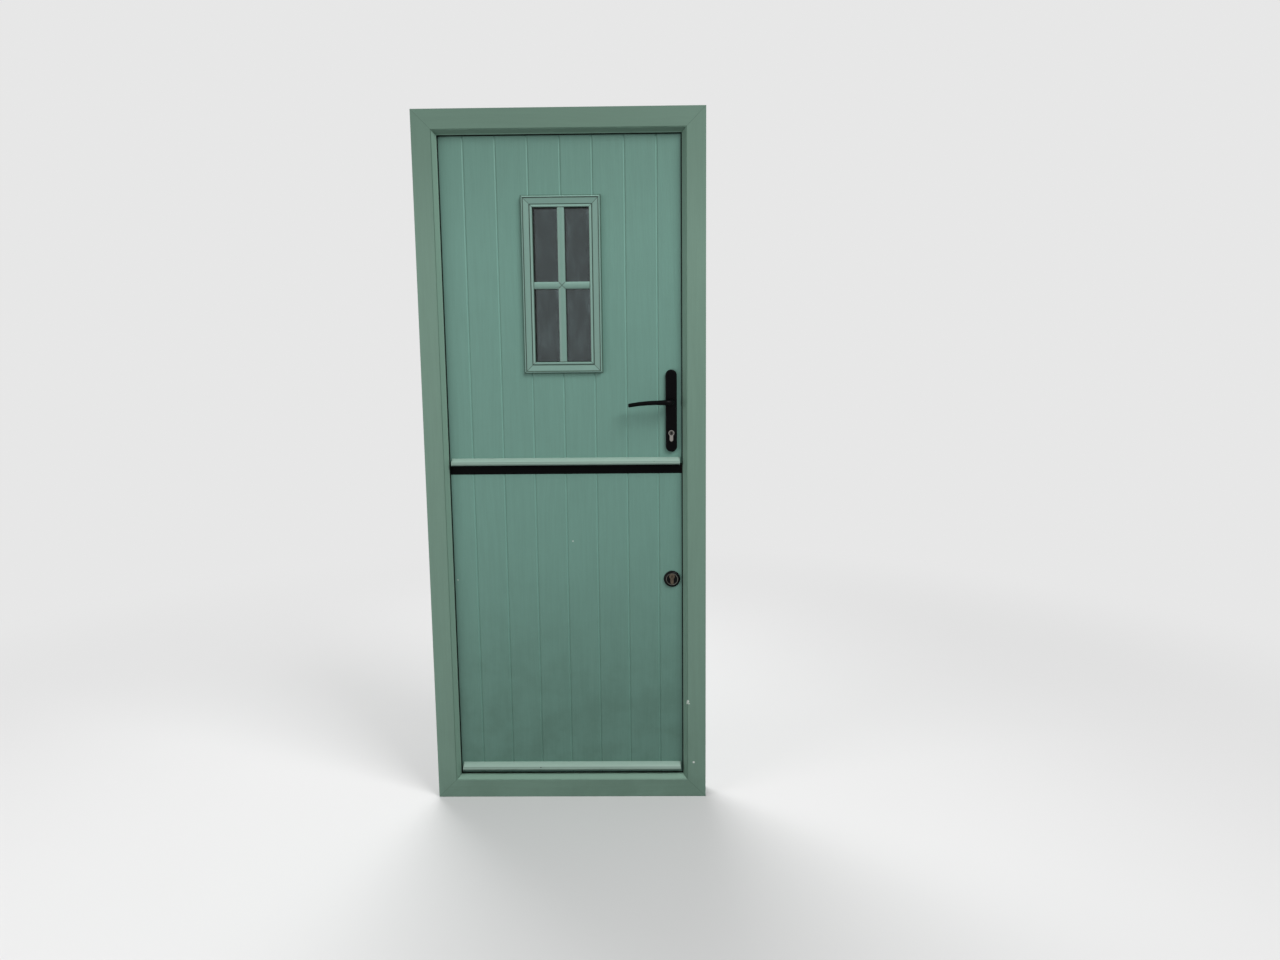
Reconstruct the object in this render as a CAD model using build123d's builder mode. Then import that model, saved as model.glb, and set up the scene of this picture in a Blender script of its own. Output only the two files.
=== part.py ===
from build123d import *
import os
from math import cos, radians, sin, sqrt

os.makedirs("parts", exist_ok=True)

# Dutch stable door in its frame, in millimetres.
# +Z is up, outside faces -Y, and +X is the lock side. The origin is the middle of the frame's underside.

# Frame extrusion, seen in section
frame_width = 831.0
frame_height = 2054.0
frame_depth = 70.0
frame_face = 68.0  # breadth that shows from outside
frame_bevel = 11.0  # sloped margin of that face, next to the leaves
frame_bevel_depth = 15.0
frame_lip = 21.0  # thickness of the part that laps over the leaves
frame_lap = 17.0  # how far that part reaches past the rebate wall
frame_wall = 2.8
quirk_width = 2.4  # fine groove where the flat face meets the bevel
quirk_depth = 1.4
steel_chamber = 24.2
nose_chamber = 6.0

# Steel inside the frame
steel_wall = 1.5
steel_play = 0.3
steel_setback = 62.0  # from the frame's corner to the end of a steel
steel_slot = 16.0  # open side of the steel channel

# Frame seal
gasket_space = 4.0  # between the frame's lip and the leaves
gasket_play = 0.3
gasket_nose = 3.0  # black edge that shows round the leaves
gasket_base = 12.0
gasket_stem = 3.0
gasket_stem_depth = 3.6
gasket_stem_back = 7.5

# Fixings of the frame to the wall
fixing_radius = 4.0
fixing_y = 6.0
fixing_end = 150.0  # from a corner to the outer fixings
fixing_inner_spacing = 650.0

# Leaves
leaf_thickness = 44.0
leaf_clearance = 5.0
leaf_edge_chamfer = 1.0
meeting_z = 1013.0  # top of the lower slab
meeting_space = 31.0  # between the two slabs
plank_pitch = 92.0
plank_edge = 40.0  # narrowest plank at the leaf's edge
groove_width = 7.0
groove_depth = 2.5

# Meeting rails
rail_base = 4.0
rail_setback = 0.5
upstand_height = 27.0
upstand_thickness = 3.5
upstand_setback = 1.5
top_rail_play = 4.0
top_rail_setback = 8.0  # behind the leaf's outer face
meeting_seal_rise = 19.0
meeting_seal_play = 0.3

# Weather bars
weather_bar_end = 8.5  # from the frame's lip to the bar's end
weather_bar_height = 20.0
weather_bar_reach = 21.0
weather_bar_nose = 5.0
weather_bar_shoulder_reach = 10.5
weather_bar_shoulder_rise = 15.6
weather_cap = 2.0
weather_cap_rim = 0.6
upper_bar_hang = 2.0  # below the upper slab
lower_bar_rise = 28.0  # above the lower slab's foot
drip_setback = 10.0  # behind the bar's nose
drip_width = 3.0
drip_depth = 1.6

# Small light: cassette, glass and bars
light_width = 226.0
light_height = 503.0
light_drop = 181.0  # from the upper leaf's top to the cassette
light_face = 32.0  # breadth of the cassette's moulding
light_edge = 7.0  # height of the cassette's side
light_shoulder_height = 10.8
light_shoulder_in = 1.1  # from the side to its round shoulder
light_ridge = 12.0  # height of the raised rim
light_rim_top = 2.8  # from the side to the rim's flat top
light_rim = 4.2  # breadth of the raised rim
light_step = 1.9  # drop from the rim to the broad face
light_step_run = 0.5
light_groove = 5.5  # height left in the groove outside the bead
light_groove_width = 1.5
light_groove_lip = 0.8
light_bead = 8.0  # breadth of the raised bead beside the glass
light_bead_side = 7.5
light_bead_height = 9.0
light_leg = 3.0
pane_thickness = 4.0
pane_cover = 13.0  # glass behind the moulding
unit_thickness = 28.0
unit_clearance = 6.0
spacer_width = 7.0
spacer_inset = 3.0
glazing_seal = 1.5
glazing_seal_width = 9.0
glazing_seal_lip = 0.8
bar_seal_inset = 2.0  # from a bar's edge to the strip under it
bar_width = 20.0
bar_side = 11.5  # straight part of a bar's side

# Hinges
hinge_inset = 150.0  # from the end of a leaf to the middle of a hinge
hinge_height = 100.0
hinge_barrel = 9.0
hinge_pin = 5.0
hinge_plate = 5.0
hinge_plate_width = 38.0
hinge_plate_corner = 6.0
hinge_stand = 12.0  # pin's axis beyond the inner face
hinge_gap = 0.5
hinge_plate_gap = 10.0  # from the axis to a plate's straight edge

# Fits
running_fit = 0.05
sliding_fit = 0.3
loose_fit = 0.5

# Locks, shared
backset = 45.0
faceplate_width = 20.0
faceplate_thickness = 3.0
faceplate_corner = 4.0
faceplate_end = 40.0
lock_thickness = 15.0
lock_depth = 60.5
lock_foot = 6.0  # case below the cylinder
keep_thickness = 2.0
keep_width = 24.0
keep_corner = 3.0
keep_lip_round = 1.6
keep_margin = 12.0

# Profile cylinders
cylinder_radius = 8.5
cylinder_stem = 10.0
cylinder_drop = 19.5
cylinder_proud = 2.0
plug_radius = 6.45
cam_gap = 10.0
cam_radius = 15.0
cam_width = 8.0
keyway_width = 2.4
keyway_height = 8.6
keyway_depth = 24.0
turn_neck = 6.0
turn_length = 32.0
turn_width = 11.0
turn_height = 17.0
turn_stand = 6.0

# Upper lock and handles
spindle_rise = 182.0  # above the upper slab's foot
cylinder_centres = 92.0
latch_rise = 26.0  # above the spindle
latch_height = 20.0
latch_thickness = 12.0
latch_throw = 12.0
latch_tail = 27.5
latch_nose = 3.5
lock_above_latch = 12.0
bolt_rise = 42.0  # above the cylinder
bolt_height = 28.0
bolt_throw = 20.0
bolt_tail = 8.0  # part of the dead bolt that stays in its case when thrown
spindle_side = 8.0
hub_radius = 9.0
hub_length = 13.0
plate_width = 33.4
plate_height = 242.6
plate_thickness = 9.0
plate_round = 3.0
plate_below_cylinder = 56.0
collar_radius = 12.0
collar_height = 2.0
neck_radius = 8.0
socket_depth = 23.5  # of the square hole for the spindle in a lever's neck
lever_reach = 126.0
lever_stand = 50.0  # from the leaf to the lever's outer side
lever_droop = 7.0
lever_shoulder = 42.0  # level stretch before the droop
lever_bend = 15.0
lever_breadth = 15.0
lever_height = 13.0
lever_tip_height = 11.6
lever_tip_round = 3.5

# Lower lock
lower_cylinder_drop = 315.0  # below the lower slab's top
lower_lock_rise = 30.0  # case above the cylinder's axis
escutcheon_radius = 24.75
escutcheon_rim = 3.0
escutcheon_height = 8.0
escutcheon_shoulder = 21.3
escutcheon_shoulder_height = 6.8
escutcheon_ring = 16.0
escutcheon_line = 0.75
escutcheon_centre = 8.0  # below the cylinder's axis

# Hooks
hook_reach = 40.0
hook_half = 8.0
hook_nib = 16.0
hook_throat = 29.0
hook_blade = 6.0
hook_boss = 9.0
hook_pivot = 4.0
hook_case_wall = 2.8
hook_case_room = 2.8  # free space round a hook in its case
hook_depth = 19.5  # pivot behind the leaf's edge
upper_hook_drop = 298.0  # below the upper leaf's top
lower_hook_rise = 204.0  # above the lower slab's foot
lower_hook_drop = 143.0  # below the lower slab's top

# Bolt that joins the leaves on the inside
link_beside_light = 9.0  # from the cassette to the bolt's plate
link_radius = 6.0
link_length = 110.0
link_travel = 60.0
link_barrel = 150.0
link_barrel_radius = 11.0
link_stand = 11.0  # bolt's axis from the leaf's face
link_plate = 3.0
link_plate_side = 18.0
link_rise = 6.0  # housing above the upper slab's foot
link_keep_drop = 5.0
link_keep_height = 34.0
link_stud = 3.0
link_knob = 8.0
link_knob_height = 8.0
link_knob_drop = 12.0

# Planes and edges that follow from the sizes above
frame_out = -frame_depth / 2
frame_in = frame_depth / 2
face_flat = frame_face - frame_bevel
rebate_u = frame_face - frame_lap
rebate_x = frame_width / 2 - rebate_u
rebate_y = frame_out + frame_lip
daylight_width = frame_width - 2 * frame_face
daylight_height = frame_height - 2 * frame_face
mid_z = frame_height / 2
leaf_x = rebate_x - leaf_clearance
leaf_out = rebate_y + gasket_space
leaf_in = leaf_out + leaf_thickness
leaf_mid = (leaf_out + leaf_in) / 2
leaf_foot = rebate_u + leaf_clearance
leaf_head = frame_height - leaf_foot
upper_foot = meeting_z + meeting_space
light_z = leaf_head - light_drop - light_height / 2
hinge_x = (-rebate_x - leaf_x) / 2
hinge_y = max(frame_in, leaf_in) + hinge_stand
lower_hinges = (leaf_foot + hinge_inset, meeting_z - hinge_inset)
upper_hinges = (upper_foot + hinge_inset, leaf_head - hinge_inset)
handle_x = leaf_x - backset
spindle_z = upper_foot + spindle_rise
upper_cylinder_z = spindle_z - cylinder_centres
latch_z = spindle_z + latch_rise
bolt_length = bolt_throw + bolt_tail
bolt_z = upper_cylinder_z + bolt_rise
lower_cylinder_z = meeting_z - lower_cylinder_drop
hook_x = leaf_x - hook_depth
upper_hook_z = leaf_head - upper_hook_drop
lower_hook_zs = (leaf_foot + lower_hook_rise, meeting_z - lower_hook_drop)
lock_back = leaf_x - faceplate_thickness - lock_depth
lock_front = leaf_x - faceplate_thickness
fixing_zs = (
    fixing_end,
    mid_z - fixing_inner_spacing / 2,
    mid_z + fixing_inner_spacing / 2,
    frame_height - fixing_end,
)
link_x = light_width / 2 + link_beside_light + link_plate_side
seal_out = leaf_mid - unit_thickness / 2
seal_in = leaf_mid + unit_thickness / 2


def save(piece, name):
    """Label a finished piece and write its file."""
    piece.part.label = name
    export_step(piece.part, f"parts/{name}.step")


def block(x, y, z, mode=Mode.ADD):
    """Add or cut a square block in the open part, each pair being its limits on one axis."""
    with BuildSketch(Plane.XY.offset(z[0])) as outline:
        with Locations(((x[0] + x[1]) / 2, (y[0] + y[1]) / 2)):
            Rectangle(x[1] - x[0], y[1] - y[0])
    extrude(outline.sketch, amount=z[1] - z[0], mode=mode)


def elevation(y):
    """Upright plane at depth y, with the row's X and Z as its own axes and its normal to outside."""
    return Plane.XZ.offset(-y)


def around(middle, half):
    """Limits of a stretch that reaches half to each side of its middle."""
    return (middle - half, middle + half)


def ring_path(width, height, centre_z):
    """Closed rectangle, started half way up its left side."""
    half = width / 2
    low = centre_z - height / 2
    high = centre_z + height / 2
    Polyline(
        (-half, centre_z),
        (-half, high),
        (half, high),
        (half, low),
        (-half, low),
        (-half, centre_z),
    )


def ring_section_plane(width, centre_z):
    """Level plane at the start of a ring's path, with x running inward and y as the row's Y."""
    return Plane(origin=(-width / 2, 0, centre_z), x_dir=(1, 0, 0), z_dir=(0, 0, 1))


# Frame

def frame_section():
    """Hollow section of the frame: x from the frame's edge towards the leaves, y
    from outside to inside."""
    with BuildSketch() as section:
        with BuildLine():
            Polyline(
                (0, frame_in),
                (0, frame_out),
                (face_flat - quirk_width, frame_out),
                (face_flat - quirk_width / 2, frame_out + quirk_depth),
                (face_flat, frame_out),
                (frame_face, frame_out + frame_bevel_depth),
                (frame_face, rebate_y),
                (rebate_u, rebate_y),
                (rebate_u, frame_in),
                close=True,
            )
        make_face()
        steel_end = frame_wall + steel_chamber
        lock_start = steel_end + frame_wall
        lock_end = rebate_u - frame_wall
        outer_row = (frame_out + frame_wall, rebate_y - frame_wall)
        inner_row = (rebate_y, frame_in - frame_wall)
        chambers = (
            ((frame_wall, steel_end), outer_row),
            ((lock_start, lock_end), outer_row),
            ((rebate_u, rebate_u + nose_chamber), outer_row),
            ((frame_wall, steel_end), inner_row),
            ((lock_start, lock_end), inner_row),
        )
        for across, through in chambers:
            with Locations((across[0], through[0])):
                Rectangle(
                    across[1] - across[0],
                    through[1] - through[0],
                    align=(Align.MIN, Align.MIN),
                    mode=Mode.SUBTRACT,
                )
        with Locations((frame_face - gasket_stem_back, rebate_y)):
            Rectangle(
                gasket_stem + 2 * running_fit,
                gasket_stem_depth + sliding_fit,
                align=(Align.CENTER, Align.MAX),
                mode=Mode.SUBTRACT,
            )
    return section.sketch


def cut_wall_fixings(side):
    """Drill the open part along X for the wall fixings of the jamb on this side."""
    with BuildSketch(Plane.YZ.offset(side * rebate_x)) as holes:
        with Locations(*[(fixing_y, z) for z in fixing_zs]):
            Circle(fixing_radius)
    extrude(holes.sketch, amount=side * rebate_u, mode=Mode.SUBTRACT)


def frame_member(name, inward, pockets=()):
    """One length of the frame, mitred at both ends. inward points from it to the leaves, and
    pockets are the stretches of its rebate wall that the bolts go through."""
    upright = abs(inward.X) > 0
    reach = frame_width / 2 if upright else frame_height / 2
    length = frame_height if upright else frame_width
    edge = Vector(0, 0, mid_z) - inward * reach
    section_plane = Plane(origin=edge, x_dir=inward, z_dir=inward.cross(Vector(0, 1, 0)))
    with BuildPart() as member:
        with BuildSketch(section_plane):
            add(frame_section())
        extrude(amount=length / 2, both=True)
        for end in (1, -1):
            corner = edge + section_plane.z_dir * (end * length / 2)
            mitre = section_plane.x_dir + section_plane.z_dir * end
            split(bisect_by=Plane(origin=corner, z_dir=mitre), keep=Keep.BOTTOM)
        if upright:
            cut_wall_fixings(-inward.X)
        for z in pockets:
            wall = (rebate_x, rebate_x + frame_wall)
            block(wall, around(leaf_mid, latch_thickness / 2 + sliding_fit), z, Mode.SUBTRACT)
    save(member, name)


def frame_steels():
    """Channels inside the four lengths of the frame, each stopped short of the welded corners."""
    across = steel_chamber - 2 * steel_play
    depth = frame_in - frame_wall - rebate_y - 2 * steel_play
    middle_u = frame_wall + steel_chamber / 2
    middle_y = (rebate_y + frame_in - frame_wall) / 2
    with BuildPart() as steels:
        for inward in (Vector(1, 0, 0), Vector(-1, 0, 0), Vector(0, 0, 1), Vector(0, 0, -1)):
            upright = abs(inward.X) > 0
            reach = frame_width / 2 if upright else frame_height / 2
            length = (frame_height if upright else frame_width) - 2 * steel_setback
            edge = Vector(0, 0, mid_z) - inward * reach
            plane = Plane(origin=edge, x_dir=inward, z_dir=inward.cross(Vector(0, 1, 0)))
            with BuildSketch(plane):
                with Locations((middle_u, middle_y)):
                    Rectangle(across, depth)
                    Rectangle(across - 2 * steel_wall, depth - 2 * steel_wall, mode=Mode.SUBTRACT)
                with Locations((middle_u, middle_y - depth / 2)):
                    Rectangle(steel_slot, 3 * steel_wall, mode=Mode.SUBTRACT)
            extrude(amount=length / 2, both=True)
        cut_wall_fixings(1)
        cut_wall_fixings(-1)
    save(steels, "frame_steels")


def frame_gasket():
    """Seal in the frame's groove, whose nose shows as a black line round the leaves."""
    top = leaf_out - gasket_play
    nose = (top - rebate_y) / 2
    stem = (-gasket_stem_back - gasket_stem / 2, -gasket_stem_back + gasket_stem / 2)
    stem_y = rebate_y - gasket_stem_depth
    with BuildPart() as gasket:
        with BuildLine(Plane.XZ) as path:
            ring_path(daylight_width, daylight_height, mid_z)
        with BuildSketch(ring_section_plane(daylight_width, mid_z)):
            with BuildLine():
                Polyline(
                    (gasket_nose - nose, top),
                    (nose - gasket_base, top),
                    (-gasket_base, rebate_y),
                    (stem[0], rebate_y),
                    (stem[0], stem_y),
                    (stem[1], stem_y),
                    (stem[1], rebate_y),
                    (gasket_nose - nose, rebate_y),
                )
                ThreePointArc(
                    (gasket_nose - nose, rebate_y),
                    (gasket_nose, rebate_y + nose),
                    (gasket_nose - nose, top),
                )
            make_face()
        sweep(path=path.line, transition=Transition.RIGHT)
    save(gasket, "frame_gasket")


# Slabs

def planked_block(foot, head):
    """Slab with V grooves down both faces, made in the open part."""
    each_side = int((leaf_x - plank_edge) // plank_pitch)
    lines = [number * plank_pitch for number in range(-each_side, each_side + 1)]
    with BuildSketch(Plane.XY.offset(foot)) as section:
        with Locations((0, leaf_mid)):
            Rectangle(2 * leaf_x, leaf_thickness)
        chamfer(section.vertices(), leaf_edge_chamfer)
        for face, inward in ((leaf_out, 1), (leaf_in, -1)):
            with Locations(*[(x, face) for x in lines]):
                Polygon(
                    (-groove_width / 2, 0),
                    (groove_width / 2, 0),
                    (0, inward * groove_depth),
                    align=None,
                    mode=Mode.SUBTRACT,
                )
    extrude(section.sketch, amount=head - foot)


def profile_hole(z, clearance):
    """Outline of a profile cylinder whose axis is at this height, drawn into the open sketch."""
    with Locations((handle_x, z)):
        Circle(cylinder_radius + clearance)
    with Locations((handle_x, z - cylinder_drop / 2)):
        Rectangle(cylinder_stem + 2 * clearance, cylinder_drop)
    with Locations((handle_x, z - cylinder_drop)):
        Circle(cylinder_stem / 2 + clearance)


def cut_lock_edge(foot, head, lock_z, hook_zs):
    """Rebate for a faceplate, mortice for its lock and mortices for its hooks, in the open part."""
    with BuildSketch(Plane.YZ.offset(leaf_x)) as rebate:
        with Locations((leaf_mid, (foot + head) / 2)):
            RectangleRounded(
                faceplate_width + 2 * sliding_fit,
                head - foot + 2 * sliding_fit,
                faceplate_corner + sliding_fit,
            )
    extrude(rebate.sketch, amount=-faceplate_thickness, mode=Mode.SUBTRACT)
    thickness = around(leaf_mid, lock_thickness / 2 + loose_fit)
    lock_span = (lock_z[0] - loose_fit, lock_z[1] + loose_fit)
    block((lock_back - loose_fit, lock_front), thickness, lock_span, Mode.SUBTRACT)
    for z in hook_zs:
        low, high = hook_case_z(z)
        hook_span = (low - loose_fit, high + loose_fit)
        block((hook_case_back() - loose_fit, lock_front), thickness, hook_span, Mode.SUBTRACT)


def lock_case_z(cylinder_z, top):
    """Height limits of a lock case round a cylinder."""
    return (cylinder_z - cylinder_drop - cylinder_stem / 2 - lock_foot, top)


upper_lock_z = lock_case_z(upper_cylinder_z, latch_z + latch_height / 2 + lock_above_latch)
lower_lock_z = lock_case_z(lower_cylinder_z, lower_cylinder_z + lower_lock_rise)
upper_faceplate_z = (upper_cylinder_z - faceplate_end, upper_hook_z + hook_reach + faceplate_end)
lower_faceplate_z = (
    lower_hook_zs[0] - faceplate_end,
    lower_hook_zs[1] + hook_reach + faceplate_end,
)


def hook_case_z(z):
    """Height limits of the case of the hook that turns at this height."""
    margin = hook_case_room + hook_case_wall
    return (z - hook_boss - margin, z + hook_reach + margin)


def hook_case_back():
    """X of the back of a hook's case."""
    return hook_x - hook_boss - hook_case_room - hook_case_wall


def lower_slab():
    with BuildPart() as leaf:
        planked_block(leaf_foot, meeting_z)
        cut_lock_edge(*lower_faceplate_z, lower_lock_z, lower_hook_zs)
        with BuildSketch(elevation(leaf_in)):
            profile_hole(lower_cylinder_z, loose_fit)
        extrude(amount=leaf_thickness, mode=Mode.SUBTRACT)
    save(leaf, "lower_slab")


def upper_slab():
    aperture_width = light_width - 2 * light_face + 2 * (pane_cover + unit_clearance)
    aperture_height = light_height - 2 * light_face + 2 * (pane_cover + unit_clearance)
    with BuildPart() as leaf:
        planked_block(upper_foot, leaf_head)
        cut_lock_edge(*upper_faceplate_z, upper_lock_z, (upper_hook_z,))
        with BuildSketch(elevation(leaf_in)):
            profile_hole(upper_cylinder_z, loose_fit)
            with Locations((handle_x, spindle_z)):
                Circle(neck_radius)
            with Locations((0, light_z)):
                Rectangle(aperture_width, aperture_height)
        extrude(amount=leaf_thickness, mode=Mode.SUBTRACT)
    save(leaf, "upper_slab")


# Meeting rails

def meeting_rail():
    """Black capping of the lower slab, with the upstand that the upper leaf closes against."""
    base_top = meeting_z + rail_base
    upstand = (leaf_out + upstand_setback, leaf_out + upstand_setback + upstand_thickness)
    with BuildPart() as rail:
        with BuildSketch(Plane.YZ.offset(-leaf_x)) as section:
            with BuildLine():
                Polyline(
                    (leaf_out + rail_setback, meeting_z),
                    (leaf_in - rail_setback, meeting_z),
                    (leaf_in - rail_setback, base_top),
                    (upstand[1], base_top),
                    (upstand[1], meeting_z + upstand_height),
                    (upstand[0], meeting_z + upstand_height),
                    (upstand[0], base_top),
                    (leaf_out + rail_setback, base_top),
                    close=True,
                )
            make_face()
            fillet(section.vertices().group_by(Axis.Y)[-1], upstand_thickness / 4)
        extrude(amount=2 * leaf_x)
    save(rail, "meeting_rail")


def meeting_seal():
    """Half-round seal along the inner side of the upstand."""
    face = leaf_out + upstand_setback + upstand_thickness
    bulge = leaf_out + top_rail_setback - meeting_seal_play - face
    z = meeting_z + meeting_seal_rise
    with BuildPart() as seal:
        with BuildSketch(Plane.YZ.offset(-leaf_x)):
            with BuildLine():
                Line((face, z - bulge), (face, z + bulge))
                ThreePointArc((face, z + bulge), (face + bulge, z), (face, z - bulge))
            make_face()
        extrude(amount=2 * leaf_x)
    save(seal, "meeting_seal")


def upper_bottom_rail():
    """Black channel under the upper slab, set back behind the upstand."""
    outer = leaf_out + top_rail_setback
    foot = meeting_z + rail_base + top_rail_play
    wall = rail_base
    with BuildPart() as rail:
        with BuildSketch(Plane.YZ.offset(-leaf_x)):
            with Locations((outer, foot)):
                Rectangle(leaf_in - outer, upper_foot - foot, align=(Align.MIN, Align.MIN))
            with Locations((outer + wall, foot + wall)):
                Rectangle(
                    leaf_in - outer - 2 * wall,
                    upper_foot - foot - 2 * wall,
                    align=(Align.MIN, Align.MIN),
                    mode=Mode.SUBTRACT,
                )
        extrude(amount=2 * leaf_x)
    save(rail, "upper_bottom_rail")


# Weather bars

def weather_section(foot, rim):
    """Section of a weather bar standing on the leaf's outer face, rim larger all round."""
    reach = weather_bar_reach + rim
    low = foot - rim
    high = foot + weather_bar_height + rim
    nose_y = leaf_out - reach
    shoulder = (
        leaf_out - weather_bar_shoulder_reach - rim,
        foot + weather_bar_shoulder_rise + rim,
    )
    with BuildSketch() as section:
        with BuildLine():
            Polyline(
                (leaf_out, high),
                (leaf_out, low),
                (nose_y + weather_bar_nose / 2, low),
                (nose_y, low + weather_bar_nose / 2),
                (nose_y, low + weather_bar_nose),
            )
            ThreePointArc((nose_y, low + weather_bar_nose), shoulder, (leaf_out, high))
        make_face()
    return section.sketch


def weather_bar(name, foot):
    end = daylight_width / 2 - weather_bar_end - weather_cap
    with BuildPart() as bar:
        with BuildSketch(Plane.YZ.offset(-end)):
            add(weather_section(foot, 0))
            with Locations((leaf_out - weather_bar_reach + drip_setback, foot)):
                Rectangle(
                    drip_width,
                    drip_depth,
                    align=(Align.CENTER, Align.MIN),
                    mode=Mode.SUBTRACT,
                )
        extrude(amount=2 * end)
    save(bar, name)


def weather_bar_caps(name, foot):
    """Moulded end caps of a weather bar, a little larger than its section."""
    end = daylight_width / 2 - weather_bar_end
    with BuildPart() as caps:
        for start in (-end, end - weather_cap):
            with BuildSketch(Plane.YZ.offset(start)):
                add(weather_section(foot, weather_cap_rim))
            extrude(amount=weather_cap)
    save(caps, name)


# Small light

def cassette_section(face, out):
    """Section of one half of the cassette. face is the leaf's face that it lies on, and out is the
    side that it stands out to."""
    glass_side = seal_out - glazing_seal if out < 0 else seal_in + glazing_seal
    leg_start = light_face - pane_cover - unit_clearance / 2 - light_leg / 2
    bead_start = light_face - light_bead
    crest = (light_face + bead_start) / 2
    groove_start = bead_start - light_groove_width
    with BuildSketch() as section:
        with BuildLine():
            Line((0, face), (0, face + out * light_edge))
            ThreePointArc(
                (0, face + out * light_edge),
                (light_shoulder_in, face + out * light_shoulder_height),
                (light_rim_top, face + out * light_ridge),
            )
            Polyline(
                (light_rim_top, face + out * light_ridge),
                (light_rim, face + out * light_ridge),
                (light_rim + light_step_run, face + out * (light_ridge - light_step)),
                (groove_start, face + out * (light_groove + light_groove_lip)),
                (groove_start, face + out * light_groove),
                (bead_start, face + out * light_groove),
                (bead_start, face + out * light_bead_side),
            )
            ThreePointArc(
                (bead_start, face + out * light_bead_side),
                (crest, face + out * light_bead_height),
                (light_face, face + out * light_bead_side),
            )
            Polyline(
                (light_face, face + out * light_bead_side),
                (light_face, glass_side),
                (leg_start + light_leg, glass_side),
                (leg_start + light_leg, leaf_mid),
                (leg_start, leaf_mid),
                (leg_start, face),
                (0, face),
            )
        make_face()
    return section.sketch


def bar_section(face, out, across):
    """Half-round section of a glazing bar, which stands on the seal. across swaps its axes."""
    glass = seal_out - glazing_seal if out < 0 else seal_in + glazing_seal
    crown = face + out * light_bead_height
    shoulder = crown - out * (light_bead_height - bar_side / 2)
    half = bar_width / 2
    points = [(-half, glass), (-half, shoulder), (0, crown), (half, shoulder), (half, glass)]
    if across:
        points = [(y, x) for x, y in points]
    with BuildSketch() as section:
        with BuildLine():
            Polyline(points[3], points[4], points[0], points[1])
            ThreePointArc(points[1], points[2], points[3])
        make_face()
    return section.sketch


def cassette_half(name, face, out):
    """One half of the cassette, with the glazing bars moulded in one with it."""
    bars_in = light_face - light_bead / 2
    with BuildPart() as half:
        with BuildLine(Plane.XZ) as path:
            ring_path(light_width, light_height, light_z)
        with BuildSketch(ring_section_plane(light_width, light_z)):
            add(cassette_section(face, out))
        sweep(path=path.line, transition=Transition.RIGHT)
        with BuildSketch(Plane.XY.offset(light_z)):
            add(bar_section(face, out, False))
        extrude(amount=light_height / 2 - bars_in, both=True)
        with BuildSketch(Plane.YZ):
            with Locations((0, light_z)):
                add(bar_section(face, out, True))
        extrude(amount=light_width / 2 - bars_in, both=True)
    save(half, name)


def glass_pane(name, outer):
    width = light_width - 2 * light_face + 2 * pane_cover
    height = light_height - 2 * light_face + 2 * pane_cover
    with BuildPart() as pane:
        with BuildSketch(elevation(outer + pane_thickness)):
            with Locations((0, light_z)):
                Rectangle(width, height)
        extrude(amount=pane_thickness)
    save(pane, name)


def glass_spacer():
    """Spacer bar that holds the two panes apart."""
    outside = pane_cover - spacer_inset
    width = light_width - 2 * light_face + 2 * outside
    height = light_height - 2 * light_face + 2 * outside
    with BuildPart() as spacer:
        with BuildSketch(elevation(seal_in - pane_thickness)):
            with Locations((0, light_z)):
                Rectangle(width, height)
                Rectangle(width - 2 * spacer_width, height - 2 * spacer_width, mode=Mode.SUBTRACT)
        extrude(amount=unit_thickness - 2 * pane_thickness)
    save(spacer, "glass_spacer")


def glazing_seals():
    """Black strips between the glass and both halves of the cassette, bars included."""
    width = light_width - 2 * light_face - 2 * glazing_seal_lip
    height = light_height - 2 * light_face - 2 * glazing_seal_lip
    grow = 2 * (glazing_seal_width + glazing_seal_lip)
    with BuildPart() as seals:
        for inner_face in (seal_out, seal_in + glazing_seal):
            with BuildSketch(elevation(inner_face)):
                with Locations((0, light_z)):
                    Rectangle(width + grow, height + grow)
                    Rectangle(width, height, mode=Mode.SUBTRACT)
                    Rectangle(bar_width - 2 * bar_seal_inset, height)
                    Rectangle(width, bar_width - 2 * bar_seal_inset)
            extrude(amount=glazing_seal)
    save(seals, "glazing_seals")


# Hinges

def hinge_plate_face(low_x, high_x, face, z):
    """Rounded plate of a hinge on this inner face, in the open part."""
    with BuildSketch(elevation(face)) as outline:
        with Locations(((low_x + high_x) / 2, z)):
            RectangleRounded(high_x - low_x, hinge_height, hinge_plate_corner)
    extrude(outline.sketch, amount=-hinge_plate)


def hinge_knuckle(side, face, low, high):
    """Barrel round the pin with the arm that joins it to its plate, in the open part. side is
    the way from the axis to the plate."""
    with BuildSketch(Plane.XY.offset(low)) as outline:
        with Locations((hinge_x, hinge_y)):
            Circle(hinge_barrel)
        with Locations((hinge_x + side * hinge_plate_gap / 2, (face + hinge_y) / 2)):
            Rectangle(hinge_plate_gap, hinge_y - face)
        with Locations((hinge_x + side * hinge_plate_gap, face + hinge_plate / 2)):
            Rectangle(2 * hinge_plate, hinge_plate)
        with Locations((hinge_x, hinge_y)):
            Circle(hinge_pin + running_fit, mode=Mode.SUBTRACT)
    extrude(outline.sketch, amount=high - low)


def hinge_frame_plate(name, z):
    near = hinge_x - hinge_plate_gap
    with BuildPart() as plate:
        hinge_plate_face(near - hinge_plate_width, near, frame_in, z)
        hinge_knuckle(-1, frame_in, z - hinge_height / 2, z - hinge_gap / 2)
    save(plate, name)


def hinge_leaf_plate(name, z):
    near = hinge_x + hinge_plate_gap
    with BuildPart() as plate:
        hinge_plate_face(near, near + hinge_plate_width, leaf_in, z)
        hinge_knuckle(1, leaf_in, z + hinge_gap / 2, z + hinge_height / 2)
    save(plate, name)


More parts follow.
